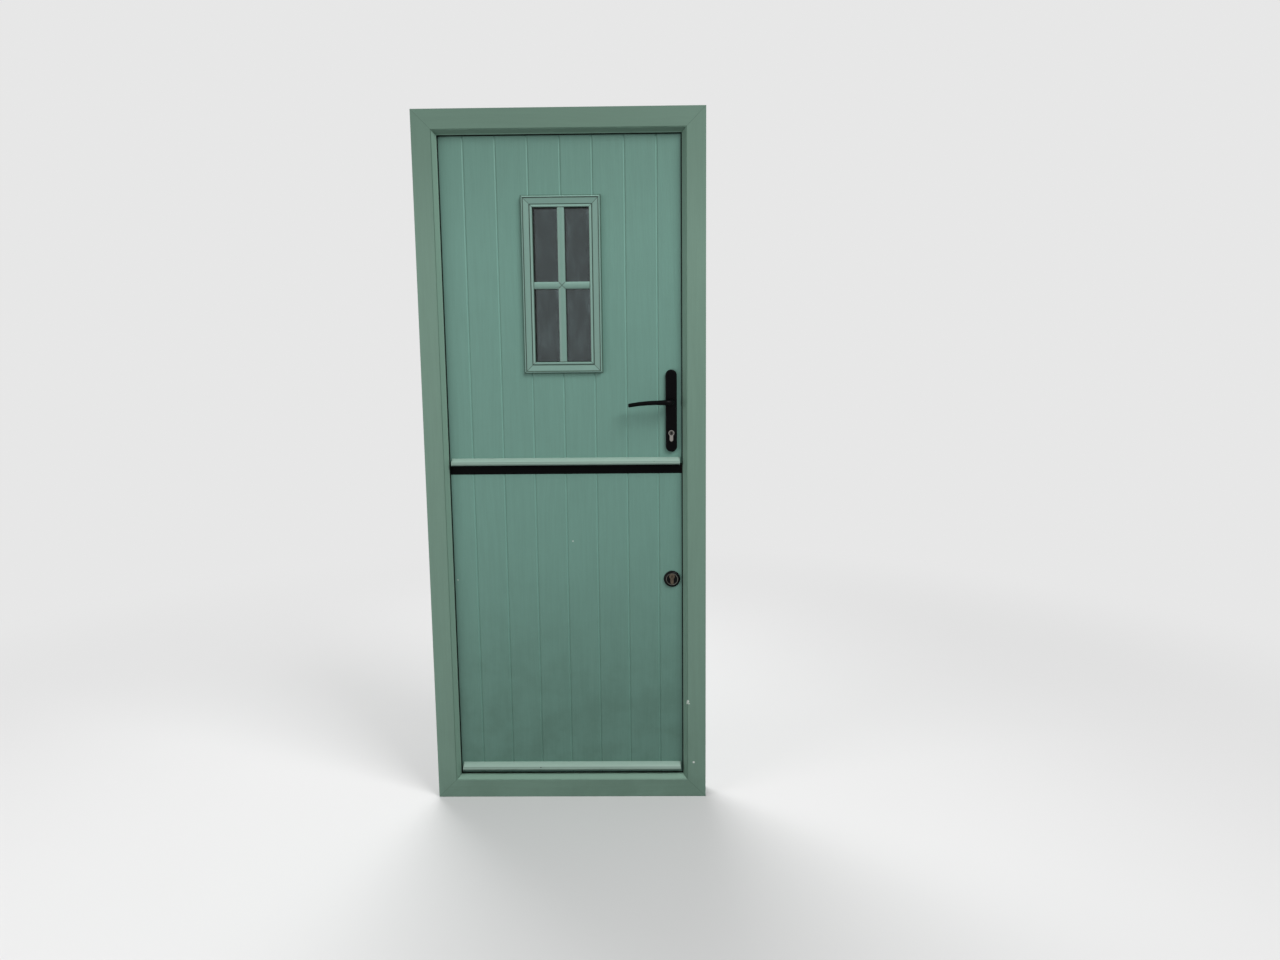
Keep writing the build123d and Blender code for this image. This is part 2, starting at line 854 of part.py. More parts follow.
def hinge_pins():
    with BuildPart() as pins:
        for z in lower_hinges + upper_hinges:
            with BuildSketch(Plane.XY.offset(z - hinge_height / 2)):
                with Locations((hinge_x, hinge_y)):
                    Circle(hinge_pin)
            extrude(amount=hinge_height)
    save(pins, "hinge_pins")


# Locks

def hook_slot(z, clearance):
    """Stretch of Z that a hook needs where it passes a plate at the leaf's edge."""
    return (z - hook_half - clearance, z + hook_reach)


def faceplate(name, limits, slots):
    """Strip let into the leaf's edge, with a slot for each bolt: its height and its breadth."""
    with BuildPart() as strip:
        with BuildSketch(Plane.YZ.offset(lock_front)):
            with Locations((leaf_mid, (limits[0] + limits[1]) / 2)):
                RectangleRounded(faceplate_width, limits[1] - limits[0], faceplate_corner)
            for z, breadth in slots:
                with Locations((leaf_mid, (z[0] + z[1]) / 2)):
                    Rectangle(breadth + 2 * sliding_fit, z[1] - z[0], mode=Mode.SUBTRACT)
        extrude(amount=faceplate_thickness)
    save(strip, name)


latch_slot = around(latch_z, latch_height / 2 + sliding_fit)
bolt_slot = around(bolt_z, bolt_height / 2 + sliding_fit)
upper_slots = (
    (latch_slot, latch_thickness),
    (bolt_slot, latch_thickness),
    (hook_slot(upper_hook_z, sliding_fit), hook_blade),
)
lower_slots = [(hook_slot(z, sliding_fit), hook_blade) for z in lower_hook_zs]


def lock_case(name, limits, cylinder_z, slides, hub_z=None):
    """Closed lock case with the holes for its cylinder, cam and spindle hub, and a channel for
    each sliding bolt: its height limits and how far back it runs."""
    with BuildPart() as case:
        block((lock_back, lock_front), around(leaf_mid, lock_thickness / 2), limits)
        with BuildSketch(elevation(leaf_mid)):
            profile_hole(cylinder_z, sliding_fit)
            if hub_z:
                with Locations((handle_x, hub_z)):
                    Circle(hub_radius + running_fit)
        extrude(amount=lock_thickness, both=True, mode=Mode.SUBTRACT)
        with BuildSketch(elevation(leaf_mid)):
            with Locations((handle_x, cylinder_z)):
                Circle(cam_radius + loose_fit)
        extrude(amount=cam_gap / 2, both=True, mode=Mode.SUBTRACT)
        for z, back in slides:
            channel = around(leaf_mid, latch_thickness / 2 + sliding_fit)
            block((back, lock_front), channel, z, Mode.SUBTRACT)
    save(case, name)


def hook_case(name, zs):
    """Cases of the hooks at these heights, each with the pin that its hook turns on."""
    back = hook_case_back()
    with BuildPart() as cases:
        for z in zs:
            low, high = hook_case_z(z)
            block((back, lock_front), around(leaf_mid, lock_thickness / 2), (low, high))
            room = around(leaf_mid, hook_blade / 2 + sliding_fit)
            inside = (low + hook_case_wall, high - hook_case_wall)
            block((back + hook_case_wall, lock_front), room, inside, Mode.SUBTRACT)
            with BuildSketch(elevation(leaf_mid)):
                with Locations((hook_x, z)):
                    Circle(hook_pivot)
            extrude(amount=lock_thickness / 2, both=True)
    save(cases, name)


def hook_outline():
    """Outline of a hook about its pivot, standing up, with its nib towards the leaf's edge."""
    corner = sqrt(hook_reach**2 - hook_half**2)
    nib_top = sqrt(hook_reach**2 - hook_nib**2)
    with BuildSketch() as outline:
        with BuildLine():
            Polyline(
                (-hook_half, corner),
                (-hook_half, 0),
                (hook_half, 0),
                (hook_half, hook_throat),
                (hook_nib, hook_throat),
                (hook_nib, nib_top),
            )
            ThreePointArc((hook_nib, nib_top), (0, hook_reach), (-hook_half, corner))
        make_face()
        fillet(outline.vertices().group_by(Axis.Y)[-1], hook_half / 2)
        Circle(hook_boss)
        Circle(hook_pivot + running_fit, mode=Mode.SUBTRACT)
    return outline.sketch


def hook(name, z):
    """Flat hook, stored standing up behind the faceplate. It turns down and out to catch."""
    with BuildPart() as blade:
        with BuildSketch(elevation(leaf_mid)):
            with Locations((hook_x, z)):
                add(hook_outline())
        extrude(amount=hook_blade / 2, both=True)
    save(blade, name)


def latch_bolt():
    """Sprung latch, with its slope towards outside so that closing the leaf pushes it in."""
    tip = leaf_x + latch_throw
    tail = leaf_x - latch_tail
    low, high = around(leaf_mid, latch_thickness / 2)
    with BuildPart() as latch:
        with BuildSketch(Plane.XY.offset(latch_z - latch_height / 2)) as outline:
            with BuildLine():
                Polyline(
                    (tail, low),
                    (leaf_x, low),
                    (tip, high - latch_nose),
                    (tip, high),
                    (tail, high),
                    close=True,
                )
            make_face()
            fillet(outline.vertices().group_by(Axis.X)[-1], latch_nose / 4)
        extrude(amount=latch_height)
    save(latch, "latch_bolt")


def dead_bolt():
    tip = leaf_x - running_fit
    with BuildPart() as bolt:
        block(
            (tip - bolt_length, tip),
            around(leaf_mid, latch_thickness / 2),
            around(bolt_z, bolt_height / 2),
        )
        chamfer(bolt.faces().sort_by(Axis.X)[-1].edges(), leaf_edge_chamfer)
    save(bolt, "dead_bolt")


def keep_blank(z, breadth):
    """Rounded plate on the lock jamb's rebate wall, in the open part."""
    with BuildSketch(Plane.YZ.offset(rebate_x - keep_thickness)) as outline:
        with Locations((leaf_mid, (z[0] + z[1]) / 2)):
            RectangleRounded(breadth, z[1] - z[0], keep_corner)
    extrude(outline.sketch, amount=keep_thickness)


def keep_opening(z, breadth):
    """Cut the opening for one bolt through a keep, in the open part."""
    with BuildSketch(Plane.YZ.offset(rebate_x - keep_thickness)) as opening:
        with Locations((leaf_mid, (z[0] + z[1]) / 2)):
            Rectangle(breadth, z[1] - z[0])
    extrude(opening.sketch, amount=keep_thickness, mode=Mode.SUBTRACT)


latch_opening = around(latch_z, latch_height / 2 + 2 * loose_fit)
bolt_opening = around(bolt_z, bolt_height / 2 + 2 * loose_fit)


def hook_opening(z):
    """Stretch of Z open to a hook in its keep."""
    return (z - hook_half - 2 * loose_fit, z + hook_reach - 2 * loose_fit)


def upper_keep():
    """Keep of the latch and the dead bolt, with the lip that the latch rides over."""
    span = (bolt_opening[0] - keep_margin, latch_opening[1] + keep_margin)
    breadth = latch_thickness + 2 * loose_fit
    lip_end = frame_in - keep_corner
    with BuildPart() as keep:
        keep_blank(span, keep_width)
        lip_z = (latch_opening[0] - keep_corner, latch_opening[1] + keep_corner)
        block((rebate_x - keep_thickness, rebate_x), (leaf_mid, lip_end), lip_z)
        keep_opening(latch_opening, breadth)
        keep_opening(bolt_opening, breadth)
        rim = keep.edges().filter_by(Axis.Z).group_by(Axis.Y)[-1].sort_by(Axis.X)[0]
        fillet(rim, keep_lip_round)
    save(keep, "upper_keep")


def hook_keeps():
    """Keeps of the three hooks."""
    with BuildPart() as keeps:
        for z in (upper_hook_z, *lower_hook_zs):
            low, high = hook_opening(z)
            keep_blank((low - keep_margin, high + keep_margin), keep_width)
            keep_opening((low, high), hook_blade + 2 * loose_fit)
    save(keeps, "hook_keeps")


# Profile cylinders

def cylinder_body(name, z, outer, inner):
    """Fixed body of a profile cylinder, with its two bores and the gap for the cam."""
    with BuildPart() as body:
        with BuildSketch(elevation(outer)):
            profile_hole(z, 0)
        extrude(amount=outer - inner)
        with BuildSketch(elevation(outer)):
            with Locations((handle_x, z)):
                Circle(plug_radius + running_fit)
        extrude(amount=outer - inner, mode=Mode.SUBTRACT)
        with BuildSketch(elevation(leaf_mid)):
            with Locations((handle_x, z)):
                Circle(cam_radius + loose_fit)
        extrude(amount=cam_gap / 2, both=True, mode=Mode.SUBTRACT)
    save(body, name)


def key_plug(name, z, outer):
    """Barrel that a key turns from outside, with its upright keyway."""
    end = leaf_mid - cam_gap / 2 - sliding_fit / 2
    with BuildPart() as plug:
        with BuildSketch(elevation(outer)):
            with Locations((handle_x, z)):
                Circle(plug_radius)
        extrude(amount=outer - end)
        with BuildSketch(elevation(outer)):
            with Locations((handle_x, z)):
                Rectangle(keyway_width, keyway_height)
        extrude(amount=-keyway_depth, mode=Mode.SUBTRACT)
    save(plug, name)


def thumbturn(name, z, inner):
    """Inside turn with its barrel and the cam that works the lock."""
    cam = around(leaf_mid, cam_gap / 2 - sliding_fit)
    grip = inner + turn_stand
    with BuildPart() as turn:
        with BuildSketch(elevation(cam[0])):
            with Locations((handle_x, z)):
                Circle(cylinder_radius)
            with Locations((handle_x, z - cam_radius / 2)):
                Rectangle(cam_width, cam_radius)
            with Locations((handle_x, z)):
                Circle(cam_radius, mode=Mode.INTERSECT)
        extrude(amount=cam[0] - cam[1])
        with BuildSketch(elevation(cam[1])):
            with Locations((handle_x, z)):
                Circle(plug_radius)
        extrude(amount=cam[1] - inner)
        with BuildSketch(elevation(inner)):
            with Locations((handle_x, z)):
                Circle(turn_neck)
        extrude(amount=-turn_stand)
        with BuildSketch(elevation(grip)):
            with Locations((handle_x, z)):
                SlotOverall(turn_length, turn_width, rotation=90)
        extrude(amount=-turn_height)
        fillet(turn.faces().sort_by(Axis.Y)[-1].edges(), turn_width / 6)
    save(turn, name)


# Handles

def handle_plate(name, face, out):
    """Long backplate with round ends, a collar round the lever's neck and a cylinder hole."""
    middle = upper_cylinder_z - plate_below_cylinder + plate_height / 2
    with BuildPart() as plate:
        with BuildSketch(elevation(face)):
            with Locations((handle_x, middle)):
                SlotOverall(plate_height, plate_width, rotation=90)
        extrude(amount=-out * plate_thickness)
        front = plate.faces().sort_by(Axis.Y)[0 if out < 0 else -1]
        fillet(front.edges(), plate_round)
        with BuildSketch(elevation(face + out * plate_thickness)):
            with Locations((handle_x, spindle_z)):
                Circle(collar_radius)
        extrude(amount=-out * collar_height)
        with BuildSketch(elevation(face)):
            with Locations((handle_x, spindle_z)):
                Circle(neck_radius + running_fit)
            profile_hole(upper_cylinder_z, sliding_fit)
        extrude(amount=-out * (plate_thickness + collar_height), mode=Mode.SUBTRACT)
    save(plate, name)


def lever_plane(reach, y, droop):
    """Plane square to a lever's arm at this reach, its own x pointing up."""
    return Plane(
        origin=(handle_x - reach, y, spindle_z - droop), x_dir=(0, 0, 1), z_dir=(-1, 0, 0)
    )


def lever_stations():
    """Sections of a lever's arm after its bend: how far each is from the spindle's axis, how
    far it droops, its height and its breadth."""
    run = lever_reach - lever_tip_round - lever_shoulder
    stations = [(lever_shoulder, 0, lever_height, lever_breadth)]
    for share in (0.33, 0.67, 1.0):
        height = lever_height - (lever_height - lever_tip_height) * share
        stations.append(
            (lever_shoulder + run * share, lever_droop * share**2, height, lever_breadth)
        )
    for angle in (30, 60, 90):
        reach = lever_reach - lever_tip_round * (1 - sin(radians(angle)))
        lost = 2 * lever_tip_round * (1 - cos(radians(angle)))
        stations.append((reach, lever_droop, lever_tip_height - lost, lever_breadth - lost))
    return stations


def levers():
    """Drooping levers with a round neck, a bend and an oval arm, socketed for the spindle. The
    inner one is the outer one mirrored about the middle of the leaf."""
    start = leaf_out - loose_fit
    arm_y = leaf_out - lever_stand + neck_radius
    bend_y = arm_y + lever_bend
    with BuildPart() as outer:
        with BuildSketch(elevation(start)):
            with Locations((handle_x, spindle_z)):
                Circle(neck_radius)
        extrude(amount=start - bend_y)
        with BuildSketch(elevation(bend_y)) as ring:
            with Locations((handle_x, spindle_z)):
                Circle(neck_radius)
        turning = Axis((handle_x - lever_bend, bend_y, spindle_z), (0, 0, 1))
        revolve(ring.sketch, axis=turning, revolution_arc=-90)
        with BuildSketch(lever_plane(lever_bend, arm_y, 0)):
            Circle(neck_radius)
        for reach, droop, height, breadth in lever_stations():
            with BuildSketch(lever_plane(reach, arm_y, droop)):
                Ellipse(height / 2, breadth / 2)
        loft(ruled=True)
        with BuildSketch(elevation(start)):
            with Locations((handle_x, spindle_z)):
                Rectangle(spindle_side + 2 * running_fit, spindle_side + 2 * running_fit)
        extrude(amount=socket_depth, mode=Mode.SUBTRACT)
    save(outer, "lever_outer")
    with BuildPart() as inner:
        mirror(outer.part, about=elevation(leaf_mid))
    save(inner, "lever_inner")


def lever_spindle():
    """Square spindle between the levers, with the round hub that turns in the lock case."""
    length = leaf_thickness / 2 + socket_depth
    with BuildPart() as spindle:
        with BuildSketch(elevation(leaf_mid)):
            with Locations((handle_x, spindle_z)):
                Rectangle(spindle_side, spindle_side)
        extrude(amount=length, both=True)
        with BuildSketch(elevation(leaf_mid)):
            with Locations((handle_x, spindle_z)):
                Circle(hub_radius)
        extrude(amount=hub_length / 2, both=True)
    save(spindle, "lever_spindle")


def escutcheon(name, face, out):
    """Round escutcheon of the lower lock, domed, with a turned line round its middle."""
    z = lower_cylinder_z - escutcheon_centre
    axis = Plane(origin=(handle_x, face, z), x_dir=(1, 0, 0), z_dir=(0, 0, 1))
    with BuildPart() as rose:
        with BuildSketch(axis):
            with BuildLine():
                Polyline(
                    (0, 0),
                    (escutcheon_radius, 0),
                    (escutcheon_radius, out * escutcheon_rim),
                )
                ThreePointArc(
                    (escutcheon_radius, out * escutcheon_rim),
                    (escutcheon_shoulder, out * escutcheon_shoulder_height),
                    (escutcheon_ring + escutcheon_line, out * escutcheon_height),
                )
                Polyline(
                    (escutcheon_ring + escutcheon_line, out * escutcheon_height),
                    (escutcheon_ring, out * (escutcheon_height - escutcheon_line)),
                    (escutcheon_ring - escutcheon_line, out * escutcheon_height),
                    (0, out * escutcheon_height),
                    (0, 0),
                )
            make_face()
        revolve(axis=Axis((handle_x, face, z), (0, 1, 0)))
        with BuildSketch(elevation(face)):
            profile_hole(lower_cylinder_z, sliding_fit)
        extrude(amount=-out * escutcheon_height, mode=Mode.SUBTRACT)
    save(rose, name)


# Link bolt

def link_guide(foot, head):
    """Base plate with a half-round barrel on the leaf's inner face, in the open part."""
    axis_y = leaf_in + link_stand
    with BuildSketch(Plane.XY.offset(foot)) as section:
        with Locations((link_x, leaf_in + link_plate / 2)):
            Rectangle(2 * link_plate_side, link_plate)
        with Locations((link_x, (leaf_in + axis_y) / 2)):
            Rectangle(2 * link_barrel_radius, axis_y - leaf_in)
        with Locations((link_x, axis_y)):
            Circle(link_barrel_radius)
            Circle(link_radius + running_fit, mode=Mode.SUBTRACT)
    extrude(section.sketch, amount=head - foot)


def link_bolt_housing():
    foot = upper_foot + link_rise
    stud_z = foot + link_length - link_knob_drop
    slot = (stud_z - link_travel - link_stud - loose_fit, stud_z + link_stud + loose_fit)
    with BuildPart() as housing:
        link_guide(foot, foot + link_barrel)
        front = (leaf_in + link_stand, leaf_in + link_stand + 2 * link_barrel_radius)
        block(around(link_x, link_stud + sliding_fit), front, slot, Mode.SUBTRACT)
    save(housing, "link_bolt_housing")


def link_bolt_keep():
    head = meeting_z - link_keep_drop
    with BuildPart() as keep:
        link_guide(head - link_keep_height, head)
    save(keep, "link_bolt_keep")


def link_bolt():
    """Round bolt that slides down into its keep on the lower leaf, with a knob on a stud."""
    axis_y = leaf_in + link_stand
    foot = upper_foot + link_rise + running_fit
    stud_z = upper_foot + link_rise + link_length - link_knob_drop
    knob_y = axis_y + link_barrel_radius + loose_fit
    with BuildPart() as bolt:
        with BuildSketch(Plane.XY.offset(foot)):
            with Locations((link_x, axis_y)):
                Circle(link_radius)
        extrude(amount=link_length)
        chamfer(bolt.edges().filter_by(GeomType.CIRCLE), leaf_edge_chamfer)
        with BuildSketch(elevation(axis_y)):
            with Locations((link_x, stud_z)):
                Circle(link_stud)
        extrude(amount=axis_y - knob_y)
        with BuildSketch(elevation(knob_y)):
            with Locations((link_x, stud_z)):
                Circle(link_knob)
        extrude(amount=-link_knob_height)
        fillet(bolt.faces().sort_by(Axis.Y)[-1].edges(), link_knob_height / 3)
    save(bolt, "link_bolt")


# Frame with its seal and steels
pocket_stretches = (latch_opening, bolt_opening) + tuple(
    (hook_opening(z)[0], hook_opening(z)[1]) for z in (upper_hook_z, *lower_hook_zs)
)
frame_member("frame_hinge_jamb", Vector(1, 0, 0))
frame_member("frame_lock_jamb", Vector(-1, 0, 0), pocket_stretches)
frame_member("frame_sill", Vector(0, 0, 1))
frame_member("frame_head", Vector(0, 0, -1))
frame_steels()
frame_gasket()

# Lower leaf
lower_slab()
meeting_rail()
meeting_seal()
lower_bar_foot = leaf_foot + lower_bar_rise
weather_bar("lower_weather_bar", lower_bar_foot)
weather_bar_caps("lower_weather_bar_caps", lower_bar_foot)

# Upper leaf
upper_slab()
upper_bottom_rail()
upper_bar_foot = upper_foot - upper_bar_hang
weather_bar("upper_weather_bar", upper_bar_foot)
weather_bar_caps("upper_weather_bar_caps", upper_bar_foot)
cassette_half("cassette_outer", leaf_out, -1)
cassette_half("cassette_inner", leaf_in, 1)
glass_pane("glass_outer", seal_out)
glass_pane("glass_inner", seal_in - pane_thickness)
glass_spacer()
glazing_seals()

# Hinges
for number, z in enumerate(lower_hinges + upper_hinges, start=1):
    hinge_frame_plate(f"hinge_frame_plate_{number}", z)
    hinge_leaf_plate(f"hinge_leaf_plate_{number}", z)
hinge_pins()

# Upper lock and handles
outer_face = leaf_out - plate_thickness - cylinder_proud
inner_face = leaf_in + plate_thickness + cylinder_proud
faceplate("upper_faceplate", upper_faceplate_z, upper_slots)
slides = (
    (latch_slot, leaf_x - latch_tail - latch_throw - loose_fit),
    (bolt_slot, leaf_x - bolt_length - loose_fit),
)
lock_case("upper_lock_case", upper_lock_z, upper_cylinder_z, slides, spindle_z)
hook_case("upper_hook_case", (upper_hook_z,))
hook("upper_hook", upper_hook_z)
latch_bolt()
dead_bolt()
upper_keep()
cylinder_body("upper_cylinder", upper_cylinder_z, outer_face, inner_face)
key_plug("upper_key_plug", upper_cylinder_z, outer_face)
thumbturn("upper_thumbturn", upper_cylinder_z, inner_face)
handle_plate("handle_plate_outer", leaf_out, -1)
handle_plate("handle_plate_inner", leaf_in, 1)
levers()
lever_spindle()

# Lower lock
lower_outer_face = leaf_out - escutcheon_height + cylinder_proud
lower_inner_face = leaf_in + escutcheon_height + cylinder_proud
faceplate("lower_faceplate", lower_faceplate_z, lower_slots)
lock_case("lower_lock_case", lower_lock_z, lower_cylinder_z, ())
hook_case("lower_hook_cases", lower_hook_zs)
for number, z in enumerate(lower_hook_zs, start=1):
    hook(f"lower_hook_{number}", z)
hook_keeps()
cylinder_body("lower_cylinder", lower_cylinder_z, lower_outer_face, lower_inner_face)
key_plug("lower_key_plug", lower_cylinder_z, lower_outer_face)
thumbturn("lower_thumbturn", lower_cylinder_z, lower_inner_face)
escutcheon("lower_escutcheon_outer", leaf_out, -1)
escutcheon("lower_escutcheon_inner", leaf_in, 1)

# Link bolt
link_bolt_housing()
link_bolt_keep()
link_bolt()
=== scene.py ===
"""Finish of a dutch stable door in its frame: woodgrained skins, black furniture, screws and stage."""

import functools
import math

import bmesh
import bpy
from bpy.props import FloatProperty, FloatVectorProperty, IntProperty, PointerProperty
from bpy.types import Operator, Panel, PropertyGroup
from mathutils import Matrix, Vector


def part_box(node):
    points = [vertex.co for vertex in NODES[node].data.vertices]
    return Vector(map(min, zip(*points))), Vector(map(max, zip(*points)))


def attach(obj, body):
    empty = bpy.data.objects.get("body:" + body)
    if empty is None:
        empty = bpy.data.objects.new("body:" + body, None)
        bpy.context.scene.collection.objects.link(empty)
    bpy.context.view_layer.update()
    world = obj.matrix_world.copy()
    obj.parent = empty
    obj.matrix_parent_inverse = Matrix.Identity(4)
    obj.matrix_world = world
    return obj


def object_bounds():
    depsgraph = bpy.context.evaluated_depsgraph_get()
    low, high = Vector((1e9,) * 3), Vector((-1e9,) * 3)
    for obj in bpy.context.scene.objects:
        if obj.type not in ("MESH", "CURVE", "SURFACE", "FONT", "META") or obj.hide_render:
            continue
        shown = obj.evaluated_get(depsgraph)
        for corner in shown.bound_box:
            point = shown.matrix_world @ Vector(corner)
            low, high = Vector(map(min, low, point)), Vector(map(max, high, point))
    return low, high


bl_info = {
    "name": "Dutch stable door",
    "version": (1, 0, 0),
    "blender": (4, 5, 0),
    "location": "View3D > Sidebar > Door",
    "description": "Surfaces, small fixings and a plain stage for a two-leaf stable door",
    "category": "Object",
}

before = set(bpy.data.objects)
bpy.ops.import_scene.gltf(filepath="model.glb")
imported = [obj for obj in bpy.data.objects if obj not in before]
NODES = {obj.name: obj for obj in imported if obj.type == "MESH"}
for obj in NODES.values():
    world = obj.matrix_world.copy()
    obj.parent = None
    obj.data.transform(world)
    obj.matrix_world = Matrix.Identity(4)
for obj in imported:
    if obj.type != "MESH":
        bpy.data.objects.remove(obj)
cad_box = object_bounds()

MM = 0.001

# What each piece of the door is finished in
FOIL_UPRIGHT = ("frame_hinge_jamb", "frame_lock_jamb")
FOIL_LEVEL = ("frame_head", "frame_sill")
SKINS = ("lower_slab", "upper_slab")
MOULDINGS = ("cassette_outer", "cassette_inner")
WEATHER_BARS = ("lower_weather_bar", "upper_weather_bar")
BAR_CAPS = ("lower_weather_bar_caps", "upper_weather_bar_caps")
BLACK_RAILS = ("meeting_rail", "upper_bottom_rail")
SEALS = ("frame_gasket", "meeting_seal", "glazing_seals")
PANES = ("glass_outer", "glass_inner")
HANDLES = ("handle_plate_outer", "handle_plate_inner", "lever_outer", "lever_inner")
ROSES = ("lower_escutcheon_outer", "lower_escutcheon_inner")
LINK_BOLT = ("link_bolt_housing", "link_bolt_keep", "link_bolt")
NICKEL = ("upper_cylinder", "upper_thumbturn")
BRONZE = ("lower_cylinder", "lower_key_plug", "lower_thumbturn")
PLATED = ("upper_keep", "hook_keeps", "upper_faceplate", "lower_faceplate")
GALVANISED = ("frame_steels", "upper_lock_case", "upper_hook_case", "lower_lock_case", "lower_hook_cases")
BOLTS = ("latch_bolt", "dead_bolt", "upper_hook", "lower_hook_1", "lower_hook_2", "lever_spindle")

# The leaf that each hinge carries
HINGE_LEAVES = {1: "lower_leaf", 2: "lower_leaf", 3: "upper_leaf", 4: "upper_leaf"}
HINGE_PLATES = tuple(f"hinge_{side}_plate_{number}" for side in ("frame", "leaf") for number in HINGE_LEAVES)

# Turns that lay a pattern made along Z along X, and along Y
ALONG_X = (0, math.radians(90), 0)
ALONG_Y = (math.radians(90), 0, 0)

# Screws of a hinge plate, in millimetres in from its free edge and up from its middle
HINGE_SCREWS = ((11, 38), (27, 13), (11, -13), (27, -38))
HINGE_HALF_HEIGHT = 50
HINGE_FRAME_FACE = 40
HINGE_LEAF_FACE = 39

# Heights of the other screws, in millimetres
EDGE_SCREWS = {
    "upper_leaf": (1106, 1214, 1330, 1500, 1665, 1768),
    "lower_leaf": (232, 430, 585, 760, 938),
}
KEEP_SCREWS = (1155, 1269, 1685, 1745, 245, 305, 855, 915)
PLATE_SCREWS = (1092, 1307)
HOUSING_SCREWS = (1062, 1125, 1188)
LINK_KEEP_SCREWS = (991,)

# Lines and faces that these screws stand on, in millimetres
EDGE_MIDDLE = 12
HANDLE_X = 314.5
HANDLE_PLATE_FACE = 43
ROSE_Z = 690
FLANGE_THICKNESS = 3

# Screws across from the middle of the round escutcheon and of the link bolt, in millimetres
ROSE_SCREWS = (-11, 11)
FLANGE_SCREWS = (-14.5, 14.5)

# Radius of the pale ring painted round the lower cylinder as a highlight on the rose, in millimetres
ROSE_HIGHLIGHT_RING = 17

# Radius of the finest heads as a share of the small ones
FINE_SCREW = 0.8

# How far a head stands proud, as a share of its radius
HEAD_PROUD = 0.05

# Turn in radians from one head of a row to the next
HEAD_TURN = 0.7

# Profile of a hinge cap as shares of its radius and height, the steps round it, and the distance in
# metres at which its points are merged
CAP_PROFILE = ((0, 0), (0.97, 0), (0.97, 0.45), (0.86, 0.85), (0.6, 1), (0, 1.05))
CAP_STEPS = 40
CAP_MERGE = 0.00001

# Breadth of the frame's face and of the bevel at its inner edge, in millimetres
FRAME_FACE = 68
FRAME_BEVEL = 11

# Depth of a weather bar's upper band, painted paler as a highlight from above, in millimetres
BAR_BAND = 11

# Profile of the small light's surround, in millimetres in from its side, and half of its glazing bar
RIM_CREST = 2.3
RIM_STEP = 4.9
BEAD_GROOVE = 23.3
BEAD_CREST = 28.0
SURROUND = 32.0
BAR_HALF = 10.0

# Heights in metres between which the outside grows darker towards the foot, and painted shade thickens
# towards the head
FOOT_DARKENING = (0.95, 0.1)
HEAD_SHADE = (1.6, 2.05)

# Pale scuffs and dark specks: place and radius in millimetres, and strength
JAMB_SCUFFS = (
    ((361.4, -35, 309), 6.0, 0.85),
    ((358.5, -35, 303), 4.5, 0.8),
    ((364.5, -35, 302), 3.5, 0.7),
    ((378.7, -35, 112), 5.0, 0.9),
)
SILL_SCUFFS = (((-357, -28, 57), 4.0, 0.8),)
LEAF_SCUFFS = (
    ((16.3, -10, 808), 3.5, 0.6),
    ((-336.4, -10, 689.5), 3.0, 0.6),
)
BAR_SPECKS = (
    ((262.5, -29, 1052.4), 3.0, 0.85),
    ((-96.4, -29, 93.5), 3.0, 0.85),
)

# Stage, in metres: half of the floor's side, its drop below the door, and the radii between which it
# fades into the backdrop
FLOOR_HALF = 14
FLOOR_DROP = 0.5 * MM
FLOOR_FADE = (1.2, 3.6)

# Width of the camera's sensor, in millimetres
SENSOR_WIDTH = 36

# Each studio light, named as its power is in the stage's settings: its side, place and aim, in metres
STUDIO_LIGHTS = {
    "key": (2.2, (2.3, -2.4, 4.2), (0, 0, 1.0)),
    "fill": (2.4, (-3.2, -2.4, 1.5), (0, 0, 0.8)),
    "back": (2.8, (-0.9, 2.6, 4.4), (0, 0, 1.0)),
}


def tone(red, green, blue):
    """Linear colour from the bytes of a screen colour."""

    def channel(value):
        share = value / 255
        return share / 12.92 if share <= 0.04045 else ((share + 0.055) / 1.055) ** 2.4

    return (channel(red), channel(green), channel(blue))


def colour_property(name, description, default):
    """Setting that holds a colour."""
    return FloatVectorProperty(
        name=name, description=description, subtype="COLOR", size=3, min=0, max=1, default=default
    )


def length_property(name, description, millimetres):
    """Setting that holds a length."""
    return FloatProperty(
        name=name, description=description, unit="LENGTH", subtype="DISTANCE", default=millimetres * MM
    )


def power_property(name, description, default):
    """Setting that holds a light's power."""
    return FloatProperty(name=name, description=description, unit="POWER", default=default)


class DoorColours(PropertyGroup):
    """Colours of the door's finishes"""

    foil: colour_property("Frame foil", "Grey green of the frame", tone(109, 139, 124))
    skin: colour_property("Leaf skin", "Blue green of both leaves", tone(106, 146, 134))
    moulding: colour_property("Light moulding", "Green of the small light's surround", tone(118, 151, 140))
    bar: colour_property("Weather bar", "Pale green of the weather bars", tone(120, 142, 132))
    # Tone of dirt and of painted shade: in creases, on groove sides, towards the head and round the small
    # light
    groove: colour_property("Groove shade", "Dirt in grooves, and the tone of painted shade", tone(52, 76, 62))
    black: colour_property("Black furniture", "Powder coat of handles and rails", tone(4, 4, 5))
    dust: colour_property("Dust on black", "Dust on the black furniture", tone(52, 56, 54))
    # Pale tone of the painted highlight round the lower cylinder
    ring_highlight: colour_property("Ring highlight", "Pale ring painted round the lower cylinder as a highlight", tone(122, 122, 114))
    rubber: colour_property("Seal", "Black of the seals", tone(12, 16, 14))
    bloom: colour_property("Seal bloom", "Dust on the seals", tone(60, 72, 64))
    nickel: colour_property("Nickel", "Metal of the upper cylinder", tone(148, 145, 140))
    # Darker metal for the upper cylinder's plug than for its barrel
    plug: colour_property("Worn plug", "Metal of the upper cylinder's plug", tone(74, 72, 70))
    bronze: colour_property("Aged bronze", "Metal of the lower cylinder", tone(98, 88, 76))
    steel: colour_property("Plated steel", "Metal of keeps, faceplates and bolts", tone(178, 180, 182))
    screw: colour_property("Blackened screw", "Metal of the screws in black fittings", tone(88, 88, 90))
    galvanised: colour_property("Galvanised steel", "Metal of cases and reinforcement", tone(150, 154, 158))
    glass: colour_property("Glass tint", "Tint of each pane", tone(125, 136, 137))
    scuff: colour_property("Scuffs", "Pale marks on the frame and the leaves", tone(214, 220, 214))


